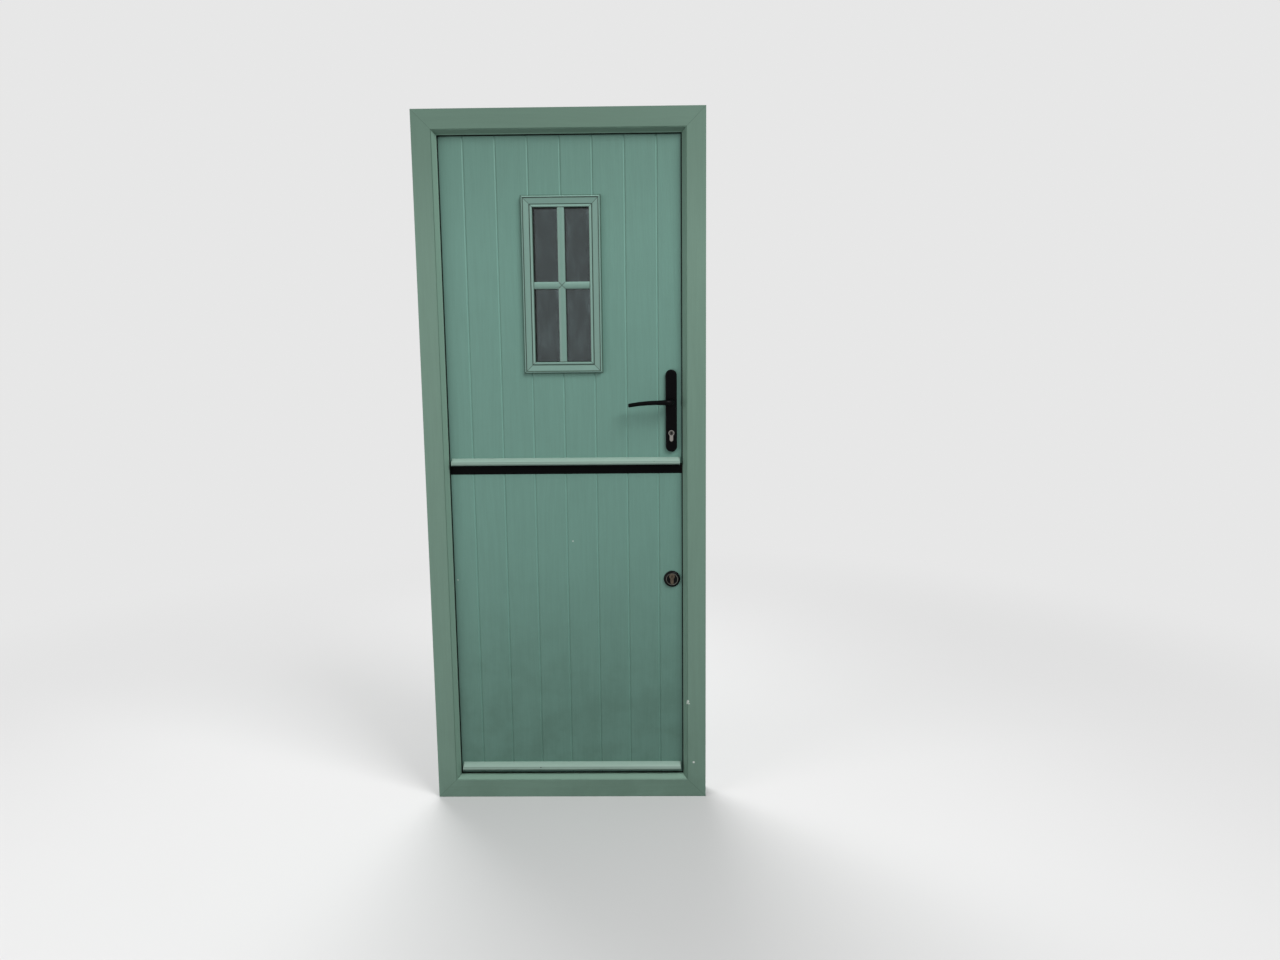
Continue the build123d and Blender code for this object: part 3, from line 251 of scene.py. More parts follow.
class DoorFinish(PropertyGroup):
    """Depth and scale of the surface patterns"""

    grain_depth: length_property("Grain depth", "Depth of the pressed woodgrain", 0.16)
    foil_depth: length_property("Foil grain depth", "Depth of the frame foil's grain", 0.1)
    coat_depth: length_property("Coat texture", "Depth of the powder coat's orange peel", 0.05)
    dirt: FloatProperty(
        name="Dirt", description="Share of the finish that dirt covers", subtype="FACTOR",
        default=0.35, min=0, max=1,
    )


class DoorFixings(PropertyGroup):
    """Sizes of the small fixings"""

    hinge_screw: length_property("Hinge screw head", "Radius of a hinge screw's head", 4.2)
    small_screw: length_property("Small screw head", "Radius of the other screw heads", 3.2)
    cap_height: length_property("Hinge cap", "Height of the caps on the hinge barrels", 3.0)
    screw_sides: IntProperty(name="Sides", description="Sides of a screw head's circle", default=32, min=12)


class DoorStage(PropertyGroup):
    """Camera and light"""

    camera: FloatVectorProperty(
        name="Camera", description="Place of the camera", subtype="XYZ", unit="LENGTH", size=3,
        default=(0.2627, -2.8429, 1.4282),
    )
    turn: FloatVectorProperty(
        name="Camera turn", description="Rotation of the camera", subtype="EULER", unit="ROTATION", size=3,
        default=(math.radians(81.271), math.radians(0.538), math.radians(0.775)),
    )
    lens: FloatProperty(name="Lens", description="Focal length in millimetres", default=27.0)
    backdrop: colour_property("Backdrop", "Pale tone of floor and backdrop", (0.8, 0.8, 0.8))
    ambient: FloatProperty(name="Ambient", description="Strength of the light from all round", default=0.26)
    key: power_property("Key light", "Power of the large light above the front", 150)
    fill: power_property("Fill light", "Power of the light at the left", 60)
    back: power_property("Back light", "Power of the light behind", 180)
    bounce: colour_property("Floor bounce", "Tone of the floor as the door sees it", (0.3, 0.3, 0.3))


# Shader nodes

def fill(tree, node, sockets):
    """Give a node's sockets their values, or link them to other nodes' outputs."""
    for label, value in sockets.items():
        if isinstance(value, bpy.types.NodeSocket):
            tree.links.new(value, node.inputs[label])
        else:
            node.inputs[label].default_value = value
    return node


def place(tree, kind, settings=None, sockets=None):
    """Add a node with these settings and sockets."""
    node = tree.nodes.new(kind)
    for label, value in (settings or {}).items():
        setattr(node, label, value)
    return fill(tree, node, sockets or {})


def maths(tree, operation, *values):
    """Output of a Math node; it clamps nothing."""
    return place(tree, "ShaderNodeMath", {"operation": operation}, dict(enumerate(values))).outputs[0]


def times(tree, value, factor):
    """Value multiplied by a factor."""
    return maths(tree, "MULTIPLY", value, factor)


def rising(tree, value, rise, base):
    """Base to which the value adds up to its rise."""
    return maths(tree, "ADD", times(tree, value, rise), base)


def strongest(tree, first, *others):
    """Largest of several masks."""
    for other in others:
        first = maths(tree, "MAXIMUM", first, other)
    return first


def spread(tree, value, low, high, to_low=0.0, to_high=1.0):
    """Value from low to high turned into to_low to to_high, and held at both ends."""
    sockets = {"Value": value, "From Min": low, "From Max": high, "To Min": to_low, "To Max": to_high}
    return place(tree, "ShaderNodeMapRange", {"interpolation_type": "SMOOTHSTEP"}, sockets).outputs["Result"]


def part_of(tree, vector, axis):
    """One part of a vector."""
    return place(tree, "ShaderNodeSeparateXYZ", None, {0: vector}).outputs[axis]


def facing(tree, axis):
    """Share of a face's outward direction along an axis of its own object."""
    return part_of(tree, tree.nodes.new("ShaderNodeTexCoord").outputs["Normal"], axis)


def noise(tree, vector, scale, detail=2.0, roughness=0.5):
    """Soft noise of this many features to the metre."""
    sockets = {"Vector": vector, "Scale": scale, "Detail": detail, "Roughness": roughness}
    return place(tree, "ShaderNodeTexNoise", None, sockets).outputs["Fac"]


def drawn_out(tree, vector, share):
    """Vector whose Z counts for this share, so that a pattern on it is drawn out along Z."""
    sockets = {"Vector": vector, "Scale": (1, 1, share)}
    return place(tree, "ShaderNodeMapping", None, sockets).outputs["Vector"]


def turned(tree, vector, turn):
    """Vector turned about the origin."""
    return place(tree, "ShaderNodeMapping", None, {"Vector": vector, "Rotation": turn}).outputs["Vector"]


def tinted(tree, share, first, second, strength=1.0):
    """First colour turned into the second where share is 1, as far as the strength goes."""
    if strength != 1.0:
        share = times(tree, share, strength)
    node = place(tree, "ShaderNodeMix", {"data_type": "RGBA"})
    for socket, value in zip((node.inputs[0], node.inputs[6], node.inputs[7]), (share, first, second)):
        if isinstance(value, bpy.types.NodeSocket):
            tree.links.new(value, socket)
        else:
            socket.default_value = (*value[:3], 1)
    return node.outputs[2]


def shade(colour, factor):
    """Colour made darker or paler."""
    return tuple(min(1.0, channel * factor) for channel in colour)


def effect(name, inputs, outputs):
    """New node group with these inputs (name, kind, default) and outputs, and its two end nodes."""
    tree = bpy.data.node_groups.new(name, "ShaderNodeTree")
    for label, kind, default in inputs:
        socket = tree.interface.new_socket(label, in_out="INPUT", socket_type=kind)
        if default is not None:
            socket.default_value = default
    for label in outputs:
        tree.interface.new_socket(label, in_out="OUTPUT", socket_type="NodeSocketFloat")
    start = tree.nodes.new("NodeGroupInput").outputs
    end = tree.nodes.new("NodeGroupOutput")
    return tree, start, end


def woodgrain():
    """Pressed woodgrain along Z: long streaks and fine pores."""
    tree, start, end = effect("Woodgrain", [("Vector", "NodeSocketVector", None)], ("Streak", "Height"))
    wander = noise(tree, drawn_out(tree, start["Vector"], 0.25), scale=5, detail=1)
    moved = place(tree, "ShaderNodeCombineXYZ", None, {"X": times(tree, wander, 0.05)}).outputs[0]
    bent = place(tree, "ShaderNodeVectorMath", None, {0: start["Vector"], 1: moved}).outputs[0]
    figure = noise(tree, drawn_out(tree, bent, 0.05), scale=90, detail=3, roughness=0.6)
    streak = noise(tree, drawn_out(tree, bent, 0.03), scale=320, detail=3, roughness=0.65)
    pores = spread(tree, noise(tree, drawn_out(tree, bent, 0.04), scale=900, detail=1), 0.56, 0.68)
    blend = maths(tree, "ADD", times(tree, figure, 0.55), times(tree, streak, 0.45))
    height = maths(tree, "SUBTRACT", blend, times(tree, pores, 0.5))
    fill(tree, end, {"Streak": spread(tree, blend, 0.36, 0.64), "Height": height})
    return tree


def settled_dirt():
    """Dirt splashed up from the ground and lying in clouds."""
    inputs = [
        ("Vector", "NodeSocketVector", None),
        ("Reach", "NodeSocketFloat", 0.5),
        ("Amount", "NodeSocketFloat", 0.3),
    ]
    tree, start, end = effect("Settled dirt", inputs, ("Mask",))
    low = spread(tree, part_of(tree, start["Vector"], "Z"), start["Reach"], 0.0)
    clouds = spread(tree, noise(tree, start["Vector"], scale=9, detail=6, roughness=0.62), 0.38, 0.68)
    specks = spread(tree, noise(tree, start["Vector"], scale=160, detail=3, roughness=0.7), 0.6, 0.72)
    splashed = maths(tree, "MULTIPLY", low, rising(tree, clouds, rise=0.7, base=0.3))
    scattered = maths(tree, "ADD", times(tree, clouds, 0.1), times(tree, specks, 0.12))
    both = maths(tree, "ADD", splashed, scattered)
    fill(tree, end, {"Mask": maths(tree, "MULTIPLY", both, start["Amount"])})
    return tree


def scuff_mark():
    """Ragged mark round one point."""
    inputs = [
        ("Vector", "NodeSocketVector", None),
        ("Centre", "NodeSocketVector", (0, 0, 0)),
        ("Radius", "NodeSocketFloat", 0.01),
    ]
    tree, start, end = effect("Scuff mark", inputs, ("Mask",))
    ends = {0: start["Vector"], 1: start["Centre"]}
    away = place(tree, "ShaderNodeVectorMath", {"operation": "DISTANCE"}, ends).outputs["Value"]
    ragged = times(tree, noise(tree, start["Vector"], scale=260, detail=4, roughness=0.7), 1.3)
    ratio = maths(tree, "DIVIDE", away, start["Radius"])
    fill(tree, end, {"Mask": spread(tree, maths(tree, "ADD", ratio, ragged), 1.45, 1.2)})
    return tree


def top_light_and_dust():
    """Pale dust and painted light from above on faces that look up."""
    inputs = [("Least lean", "NodeSocketFloat", 0.2), ("Full lean", "NodeSocketFloat", 0.6)]
    tree, start, end = effect("Top dust", inputs, ("Mask",))
    fill(tree, end, {"Mask": spread(tree, facing(tree, "Z"), start["Least lean"], start["Full lean"])})
    return tree


def foot_darkening_and_head_shade():
    """Outside darkened towards the foot, and painted shade towards the head."""
    inputs = [
        ("Vector", "NodeSocketVector", None),
        ("Foot", "NodeSocketFloat", 0.2),
        ("Head", "NodeSocketFloat", 0.2),
    ]
    tree, start, end = effect("Weather grime", inputs, ("Mask",))
    z = part_of(tree, start["Vector"], "Z")
    foot = maths(tree, "MULTIPLY", spread(tree, z, *FOOT_DARKENING), start["Foot"])
    head = maths(tree, "MULTIPLY", spread(tree, z, *HEAD_SHADE), start["Head"])
    outside = spread(tree, facing(tree, "Y"), 0.0, -0.5)
    fill(tree, end, {"Mask": maths(tree, "MULTIPLY", strongest(tree, foot, head), outside)})
    return tree


def powder_coat():
    """Orange peel of a sprayed or moulded coat, with fine dust."""
    tree, start, end = effect("Powder coat", [("Vector", "NodeSocketVector", None)], ("Height", "Dust"))
    peel = noise(tree, start["Vector"], scale=900)
    dust = spread(tree, noise(tree, start["Vector"], scale=45, detail=6, roughness=0.7), 0.5, 0.75)
    fill(tree, end, {"Height": peel, "Dust": dust})
    return tree


def brushed_metal():
    """Fine lines along Z with a slight stain."""
    tree, start, end = effect("Brushed metal", [("Vector", "NodeSocketVector", None)], ("Line", "Stain"))
    lines = noise(tree, drawn_out(tree, start["Vector"], 0.02), scale=2600, roughness=0.6)
    stain = spread(tree, noise(tree, start["Vector"], scale=60, detail=5, roughness=0.65), 0.42, 0.7)
    fill(tree, end, {"Line": lines, "Stain": stain})
    return tree


EFFECTS = {}


def mix_in(tree, maker, sockets):
    """Place a shared effect in a material, made when it is first called for, and give its outputs."""
    if maker not in EFFECTS:
        EFFECTS[maker] = maker()
    return place(tree, "ShaderNodeGroup", {"node_tree": EFFECTS[maker]}, sockets).outputs


def painted_top_light_and_dust(tree, least, full):
    """Mask of faces that look up, for pale dust and painted light from above, from the least lean to the
    lean that takes all of it.
    """
    return mix_in(tree, top_light_and_dust, {"Least lean": least, "Full lean": full})["Mask"]


def marked(tree, vector, base, marks, paint):
    """Base colour with ragged marks of another."""
    for centre, radius, strength in marks:
        in_metres = [length * MM for length in centre]
        sockets = {"Vector": vector, "Centre": in_metres, "Radius": radius * MM}
        base = tinted(tree, mix_in(tree, scuff_mark, sockets)["Mask"], base, paint, strength)
    return base


def finish_of(name, constants):
    """New material with its constant values on the shader's own sockets: the material, its nodes, the
    shader and the object's coordinates."""
    material = bpy.data.materials.new(name)
    material.use_nodes = True
    tree = material.node_tree
    shader = next(node for node in tree.nodes if node.type == "BSDF_PRINCIPLED")
    for label, value in constants.items():
        shader.inputs[label].default_value = value
    coordinates = tree.nodes.new("ShaderNodeTexCoord").outputs["Object"]
    return material, tree, shader, coordinates


def press(tree, shader, height, depth):
    """Bump the shader's surface by this height."""
    bump = place(tree, "ShaderNodeBump", None, {"Height": height, "Distance": depth})
    fill(tree, shader, {"Normal": bump.outputs["Normal"]})


def insets(tree, vector, low, high):
    """Distances in from the sides and from the ends of an upright rectangle centred on X = 0."""
    middle = (low.z + high.z) / 2
    side = maths(tree, "SUBTRACT", high.x, maths(tree, "ABSOLUTE", part_of(tree, vector, "X")))
    above = maths(tree, "ABSOLUTE", maths(tree, "SUBTRACT", part_of(tree, vector, "Z"), middle))
    return side, maths(tree, "SUBTRACT", high.z - middle, above)


def line_at(tree, value, centre, half):
    """Soft line where a value in metres is near a centre; centre and half breadth are in millimetres."""
    away = maths(tree, "ABSOLUTE", maths(tree, "SUBTRACT", value, centre * MM))
    return spread(tree, away, half * MM, 0.35 * half * MM)


def frame_lines(tree, vector):
    """Fine dark line where the frame's welded corners meet, and a painted highlight on its edge beside the
    leaves and on the hinge side's bevel.
    """
    side, end = insets(tree, vector, *(Vector(corner) for corner in cad_box))
    mitre = line_at(tree, maths(tree, "SUBTRACT", side, end), 0, half=1.1)
    inward = maths(tree, "MINIMUM", side, end)
    bevel_start = FRAME_FACE - FRAME_BEVEL
    bevel = spread(tree, inward, bevel_start * MM, (bevel_start + 1) * MM)
    # Painted highlight: the bevel that faces +X is made paler, and so is the edge beside the leaves except
    # on the lock jamb
    lean = facing(tree, "X")
    lit_hinge_bevel = maths(tree, "MULTIPLY", bevel, spread(tree, lean, 0.3, 0.6, to_high=0.5))
    edge = line_at(tree, inward, FRAME_FACE, half=2.4)
    edge = maths(tree, "MULTIPLY", edge, spread(tree, lean, -0.4, 0.1, to_high=0.9))
    return mitre, strongest(tree, lit_hinge_bevel, edge)


def surround_lines(tree, vector):
    """Painted shade in the steps and at the glass edge of the small light, dark lines at its mitres and bar
    joints, and painted highlights on its crests.
    """
    low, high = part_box("cassette_outer")
    side, end = insets(tree, vector, low, high)
    inward = maths(tree, "MINIMUM", side, end)
    within = spread(tree, inward, (SURROUND + 0.5) * MM, (SURROUND - 0.5) * MM)
    mitre = maths(tree, "MULTIPLY", line_at(tree, maths(tree, "SUBTRACT", side, end), 0, half=1.3), within)
    from_middle = maths(tree, "SUBTRACT", high.x, side)
    above_middle = maths(tree, "SUBTRACT", (high.z - low.z) / 2, end)
    diagonal = line_at(tree, maths(tree, "SUBTRACT", from_middle, above_middle), 0, half=1.8)
    reach = strongest(tree, from_middle, above_middle)
    near_joint = spread(tree, reach, (BAR_HALF + 0.5) * MM, (BAR_HALF - 0.5) * MM)
    joint = maths(tree, "MULTIPLY", diagonal, near_joint)
    # Painted shade in the creases of the profile and at the glass edge
    rim_step = line_at(tree, inward, RIM_STEP, half=2.0)
    bead_groove = line_at(tree, inward, BEAD_GROOVE, half=2.2)
    glass_edge = line_at(tree, inward, SURROUND, half=1.5)
    dark = strongest(tree, rim_step, bead_groove, glass_edge, mitre, joint)
    # Painted highlights on the crests of the rim and the bead
    rim = line_at(tree, inward, RIM_CREST, half=1.6)
    bead = line_at(tree, inward, BEAD_CREST, half=2.4)
    return times(tree, dark, 0.85), times(tree, strongest(tree, rim, bead), 0.28)


def bar_lines(tree, vector, node):
    """Faint dark line along the face of a weather bar, and a painted highlight on its upper band."""
    below = maths(tree, "SUBTRACT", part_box(node)[1].z, part_of(tree, vector, "Z"))
    dark = times(tree, line_at(tree, below, BAR_BAND, half=1.6), 0.25)
    return dark, spread(tree, below, (BAR_BAND + 0.5) * MM, (BAR_BAND - 2) * MM, to_high=0.9)


def groove_flank(tree, lean):
    """Mask of the groove sides that lean this way, without the leaf's own edges."""
    return maths(tree, "MULTIPLY", spread(tree, lean, 0.1, 0.3), spread(tree, lean, 0.97, 0.9))


def foil_finish(name, turn, colours, finish, scuffs):
    """Foiled frame: woodgrain along the member, splashed dirt, welded mitres, pale scuffs, painted light on
    the sill's top, painted shade towards the head and a painted highlight on the inner edge.
    """
    material, tree, shader, spot = finish_of(name, {"Specular IOR Level": 0.45})
    grain = mix_in(tree, woodgrain, {"Vector": turned(tree, spot, turn)})
    dirt = mix_in(tree, settled_dirt, {"Vector": spot, "Reach": 0.35, "Amount": finish.dirt * 0.5})["Mask"]
    # Painted shade towards the head
    darkened_foot_and_shaded_head = mix_in(tree, foot_darkening_and_head_shade, {"Vector": spot, "Foot": 0.0, "Head": 0.34})["Mask"]
    # Painted light from above, with dust, on the sill's faces that look up
    near_sill = spread(tree, part_of(tree, spot, "Z"), 0.2, 0.1)
    lit_sill_top = maths(tree, "MULTIPLY", painted_top_light_and_dust(tree, least=0.2, full=0.6), near_sill)
    mitre, painted_edge_highlight = frame_lines(tree, spot)
    dark_streak, pale_streak = shade(colours.foil, 0.97), shade(colours.foil, 1.03)
    painted_light_tone, edge_highlight_tone = shade(colours.foil, 1.5), shade(colours.foil, 1.36)
    dirt_and_shade_tone = shade(colours.groove, 0.9)
    colour = tinted(tree, grain["Streak"], dark_streak, pale_streak)
    colour = tinted(tree, dirt, colour, dirt_and_shade_tone)
    colour = tinted(tree, lit_sill_top, colour, painted_light_tone, strength=0.6)
    colour = tinted(tree, darkened_foot_and_shaded_head, colour, colours.groove)
    # Painted highlight on the frame's inner edge and the hinge side's bevel
    colour = tinted(tree, painted_edge_highlight, colour, edge_highlight_tone)
    colour = tinted(tree, mitre, colour, colours.groove, strength=0.55)
    colour = marked(tree, spot, colour, scuffs, colours.scuff)
    fill(tree, shader, {"Base Color": colour, "Roughness": rising(tree, dirt, rise=0.35, base=0.42)})
    press(tree, shader, maths(tree, "SUBTRACT", grain["Height"], mitre), finish.foil_depth)
    return material


def skin_finish(colours, finish):
    """Woodgrained skin of the leaves, with dirt and darkening towards its foot, painted light and shade on
    the sides of its grooves, and painted shade towards its head and round the small light.
    """
    material, tree, shader, spot = finish_of("Leaf skin", {"Specular IOR Level": 0.4})
    grain = mix_in(tree, woodgrain, {"Vector": spot})
    dirt = mix_in(tree, settled_dirt, {"Vector": spot, "Reach": 0.8, "Amount": finish.dirt * 0.9})["Mask"]
    # Darker towards the foot, and painted shade towards the head
    darkened_foot_and_shaded_head = mix_in(tree, foot_darkening_and_head_shade, {"Vector": spot, "Foot": 0.24, "Head": 0.24})["Mask"]
    cloud = spread(tree, noise(tree, drawn_out(tree, spot, 0.4), scale=2.2, detail=3), 0.3, 0.7)
    # Painted light on the groove sides that face +X, and painted shade on those that face -X
    lean = facing(tree, "X")
    lit_flank = groove_flank(tree, lean)
    shaded_flank = groove_flank(tree, times(tree, lean, -1))
    # Painted shadow on the skin just round the small light's surround
    side, end = insets(tree, spot, *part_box("cassette_outer"))
    outward = times(tree, maths(tree, "MINIMUM", side, end), -1)
    shadow_round_light = spread(tree, outward, 4.5 * MM, 0.8 * MM)
    dark_streak, pale_streak = shade(colours.skin, 0.965), shade(colours.skin, 1.03)
    clouded, flank_highlight = shade(colours.skin, 0.88), shade(colours.skin, 1.5)
    dirt_and_shade_tone, shadow_tone = shade(colours.groove, 1.1), shade(colours.groove, 0.8)
    colour = tinted(tree, grain["Streak"], dark_streak, pale_streak)
    colour = tinted(tree, cloud, colour, clouded, strength=0.2)
    colour = tinted(tree, lit_flank, colour, flank_highlight, strength=0.6)
    colour = tinted(tree, shaded_flank, colour, colours.groove, strength=0.1)
    colour = tinted(tree, darkened_foot_and_shaded_head, colour, colours.groove)
    colour = tinted(tree, shadow_round_light, colour, shadow_tone, strength=0.8)
    colour = tinted(tree, dirt, colour, dirt_and_shade_tone)
    colour = marked(tree, spot, colour, LEAF_SCUFFS, colours.scuff)
    rough = rising(tree, grain["Streak"], rise=-0.08, base=0.54)
    fill(tree, shader, {"Base Color": colour, "Roughness": rough})
    press(tree, shader, grain["Height"], finish.grain_depth)
    return material


def moulded_finish(name, colour, colours, finish, rough=0.42, specks=(), lines=None):
    """Coloured moulding or painted bar with a faint texture, dust, dark specks and painted light from above,
    and painted shade and highlight lines where they are given.
    """
    material, tree, shader, spot = finish_of(name, {"Specular IOR Level": 0.45})
    coat = mix_in(tree, powder_coat, {"Vector": spot})
    dirt = mix_in(tree, settled_dirt, {"Vector": spot, "Reach": 0.3, "Amount": finish.dirt})["Mask"]
    dusty, top_light_and_dust_tone, painted_light_tone = shade(colour, 0.86), shade(colour, 1.45), shade(colour, 1.6)
    dirt_and_shade_tone = shade(colours.groove, 0.5)
    base = tinted(tree, coat["Dust"], colour, dusty, strength=0.25)
    base = tinted(tree, dirt, base, colours.groove)
    # Painted light from above, with dust, on faces that look up
    base = tinted(tree, painted_top_light_and_dust(tree, least=0.15, full=0.7), base, top_light_and_dust_tone, strength=0.5)
    # Painted shade and painted highlight lines, with dark joints, where lines are given
    if lines:
        dark, pale = lines(tree, spot)
        base = tinted(tree, pale, base, painted_light_tone)
        base = tinted(tree, dark, base, dirt_and_shade_tone)
    base = marked(tree, spot, base, specks, colours.black)
    fill(tree, shader, {"Base Color": base, "Roughness": rising(tree, coat["Dust"], rise=0.12, base=rough)})
    press(tree, shader, coat["Height"], finish.coat_depth)
    return material


def painted_ring_highlight(tree, vector):
    """Pale ring round the lower cylinder, in patches: a painted highlight on the rose."""
    across = maths(tree, "SUBTRACT", part_of(tree, vector, "X"), HANDLE_X * MM)
    above = maths(tree, "SUBTRACT", part_of(tree, vector, "Z"), ROSE_Z * MM)
    squares = maths(tree, "ADD", maths(tree, "POWER", across, 2), maths(tree, "POWER", above, 2))
    ring = line_at(tree, maths(tree, "SQRT", squares), ROSE_HIGHLIGHT_RING, half=1.3)
    patches = spread(tree, noise(tree, vector, scale=90, detail=3), 0.35, 0.6, to_low=0.3, to_high=0.8)
    return maths(tree, "MULTIPLY", ring, patches)


def black_finish(name, colours, finish, rough, dusty, gloss=0.14, ring_highlight=None):
    """Black powder coat with dust that lies in clouds."""
    material, tree, shader, spot = finish_of(name, {"Specular IOR Level": gloss})
    coat = mix_in(tree, powder_coat, {"Vector": spot})
    base = tinted(tree, coat["Dust"], colours.black, colours.dust, strength=dusty)
    # A pale ring of painted highlight, where one is given
    if ring_highlight:
        base = tinted(tree, ring_highlight(tree, spot), base, colours.ring_highlight)
    fill(tree, shader, {"Base Color": base, "Roughness": rising(tree, coat["Dust"], rise=0.15, base=rough)})
    press(tree, shader, coat["Height"], finish.coat_depth)
    return material


def metal_finish(name, colour, finish, rough, turn=(0, 0, 0), stain=0.35):
    """Plated metal with fine lines along its length and a faint stain."""
    material, tree, shader, spot = finish_of(name, {"Metallic": 1.0})
    metal = mix_in(tree, brushed_metal, {"Vector": turned(tree, spot, turn)})
    stained = shade(colour, 0.62)
    base = tinted(tree, metal["Stain"], colour, stained, strength=stain)
    fill(tree, shader, {"Base Color": base, "Roughness": rising(tree, metal["Line"], rise=0.16, base=rough)})
    press(tree, shader, metal["Line"], finish.coat_depth * 0.6)
    return material


def zinc_finish(colours):
    """Hot-dip galvanised steel with the crystals of its spangle."""
    material, tree, shader, spot = finish_of("Galvanised steel", {"Metallic": 1.0})
    cells = place(tree, "ShaderNodeTexVoronoi", None, {"Vector": spot, "Scale": 220})
    crystal = place(tree, "ShaderNodeSeparateColor", None, {"Color": cells.outputs["Color"]}).outputs[0]
    dull, bright = shade(colours.galvanised, 0.8), shade(colours.galvanised, 1.15)
    rough = spread(tree, crystal, 0, 1, to_low=0.32, to_high=0.5)
    fill(tree, shader, {"Base Color": tinted(tree, crystal, dull, bright), "Roughness": rough})
    return material


def rubber_finish(colours, finish):
    """Matt black rubber with a bloom of dust."""
    material, tree, shader, spot = finish_of("Seal rubber", {"Specular IOR Level": 0.1})
    coat = mix_in(tree, powder_coat, {"Vector": spot})
    base = tinted(tree, coat["Dust"], colours.rubber, colours.bloom, strength=0.1)
    rough = spread(tree, coat["Dust"], 0, 1, to_low=0.62, to_high=0.8)
    fill(tree, shader, {"Base Color": base, "Roughness": rough})
    press(tree, shader, coat["Height"], finish.coat_depth)
    return material


def glass_finish(colours):
    """Tinted pane with faint rain marks."""
    material, tree, shader, spot = finish_of("Pane glass", {"Transmission Weight": 1.0, "IOR": 1.5})
    rain = noise(tree, drawn_out(tree, spot, 0.3), scale=34, detail=5, roughness=0.65)
    streaks = spread(tree, rain, 0.46, 0.72)
    clear, rained = shade(colours.glass, 0.85), shade(colours.glass, 1.5)
    rough = spread(tree, rain, 0.55, 0.8, to_high=0.03)
    fill(tree, shader, {"Base Color": tinted(tree, streaks, clear, rained), "Roughness": rough})
    return material


def dress(names, material):
    """Give CAD nodes a finish through their objects' material slots."""
    for name in names:
        slots = NODES[name].material_slots
        if not slots:
            raise RuntimeError(f"{name} has no material slot")
        for slot in slots:
            slot.material = material


# Small fixings

def piece_from(name, mesh, material, body):
    """Object made of a finished bmesh, which rides a body."""
    bmesh.ops.recalc_face_normals(mesh, faces=mesh.faces)
    data = bpy.data.meshes.new(name)
    mesh.to_mesh(data)
    mesh.free()
    data.materials.append(material)
    piece = bpy.data.objects.new(name, data)
    bpy.context.scene.collection.objects.link(piece)
    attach(piece, body)
    return piece


def screw_head(radius, sides):
    """Countersunk head with a cross recess, its rim on the plane z = 0 and facing +Z."""
    skirt_depth = 0.12 * radius
    rim_width, rim_rise = 0.1 * radius, 0.08 * radius
    face_width, face_rise = 0.3 * radius, 0.02 * radius
    recess_depth = 0.3 * radius
    waist, taper = 0.45, 0.6
    mesh = bmesh.new()
    bmesh.ops.create_circle(mesh, cap_ends=True, radius=radius, segments=sides)
    top = mesh.faces[:][0]
    skirt = bmesh.ops.extrude_edge_only(mesh, edges=list(top.edges))["geom"]
    lower = [item for item in skirt if isinstance(item, bmesh.types.BMVert)]
    bmesh.ops.translate(mesh, verts=lower, vec=(0, 0, -skirt_depth))
    bmesh.ops.contextual_create(mesh, geom=[item for item in skirt if isinstance(item, bmesh.types.BMEdge)])
    bmesh.ops.inset_individual(mesh, faces=[top], thickness=rim_width, depth=rim_rise)
    bmesh.ops.inset_individual(mesh, faces=[top], thickness=face_width, depth=face_rise)
    for vert in top.verts:
        angle = math.atan2(vert.co.y, vert.co.x)
        between_arms = abs(math.sin(2 * angle)) > 0.5
        if between_arms:
            vert.co.xy *= waist
    sunk = bmesh.ops.extrude_discrete_faces(mesh, faces=[top])["faces"][0]
    bmesh.ops.translate(mesh, verts=sunk.verts, vec=(0, 0, -recess_depth))
    bmesh.ops.scale(mesh, verts=sunk.verts, vec=(taper, taper, 1))
    return mesh


def screw_row(name, spots, radius, sides, material, body):
    """One piece made of a screw head at each spot: place in millimetres and the way it faces."""
    head = screw_head(radius, sides)
    shape = bpy.data.meshes.new(f"{name}_head")
    head.to_mesh(shape)
    head.free()
    row = bmesh.new()
    for number, (spot, outward) in enumerate(spots):
        first = len(row.verts)
        row.from_mesh(shape)
        row.verts.ensure_lookup_table()
        outward = Vector(outward)
        aim = outward.to_track_quat("Z", "Y").to_matrix().to_4x4()
        spin = Matrix.Rotation(HEAD_TURN * number, 4, "Z")
        to_place = Matrix.Translation(Vector(spot) * MM + outward * (HEAD_PROUD * radius))
        bmesh.ops.transform(row, matrix=to_place @ aim @ spin, verts=row.verts[first:])
    bpy.data.meshes.remove(shape)
    return piece_from(name, row, material, body)


def hinge_cap(name, centre, height, up, material, body):
    """Domed cap closing the end of a hinge barrel."""
    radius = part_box("hinge_frame_plate_1")[1].y - centre.y
    mesh = bmesh.new()
    profile = [mesh.verts.new((radius * across, 0, height * rise)) for across, rise in CAP_PROFILE]
    edges = [mesh.edges.new(pair) for pair in zip(profile, profile[1:])]
    bmesh.ops.spin(
        mesh, geom=profile + edges, cent=(0, 0, 0), axis=(0, 0, 1), angle=2 * math.pi, steps=CAP_STEPS,
        use_merge=True,
    )
    bmesh.ops.remove_doubles(mesh, verts=mesh.verts, dist=CAP_MERGE)
    turn = Matrix.Identity(4) if up else Matrix.Rotation(math.pi, 4, "X")
    bmesh.ops.transform(mesh, matrix=Matrix.Translation(centre) @ turn, verts=mesh.verts)
    return piece_from(name, mesh, material, body)


def looks(context):
    """Colours and patterns as the scene holds them."""
    return context.scene.door_colours, context.scene.door_finish


class DOOR_OT_frame(Operator):
    """Foil the four lengths of the frame and finish the seals"""

    bl_idname = "door.finish_frame"
    bl_label = "Frame"

    def execute(self, context):
        colours, finish = looks(context)
        dress(FOIL_UPRIGHT, foil_finish("Foil upright", (0, 0, 0), colours, finish, JAMB_SCUFFS))
        dress(FOIL_LEVEL, foil_finish("Foil level", ALONG_X, colours, finish, SILL_SCUFFS))
        dress(SEALS, rubber_finish(colours, finish))
        return {"FINISHED"}


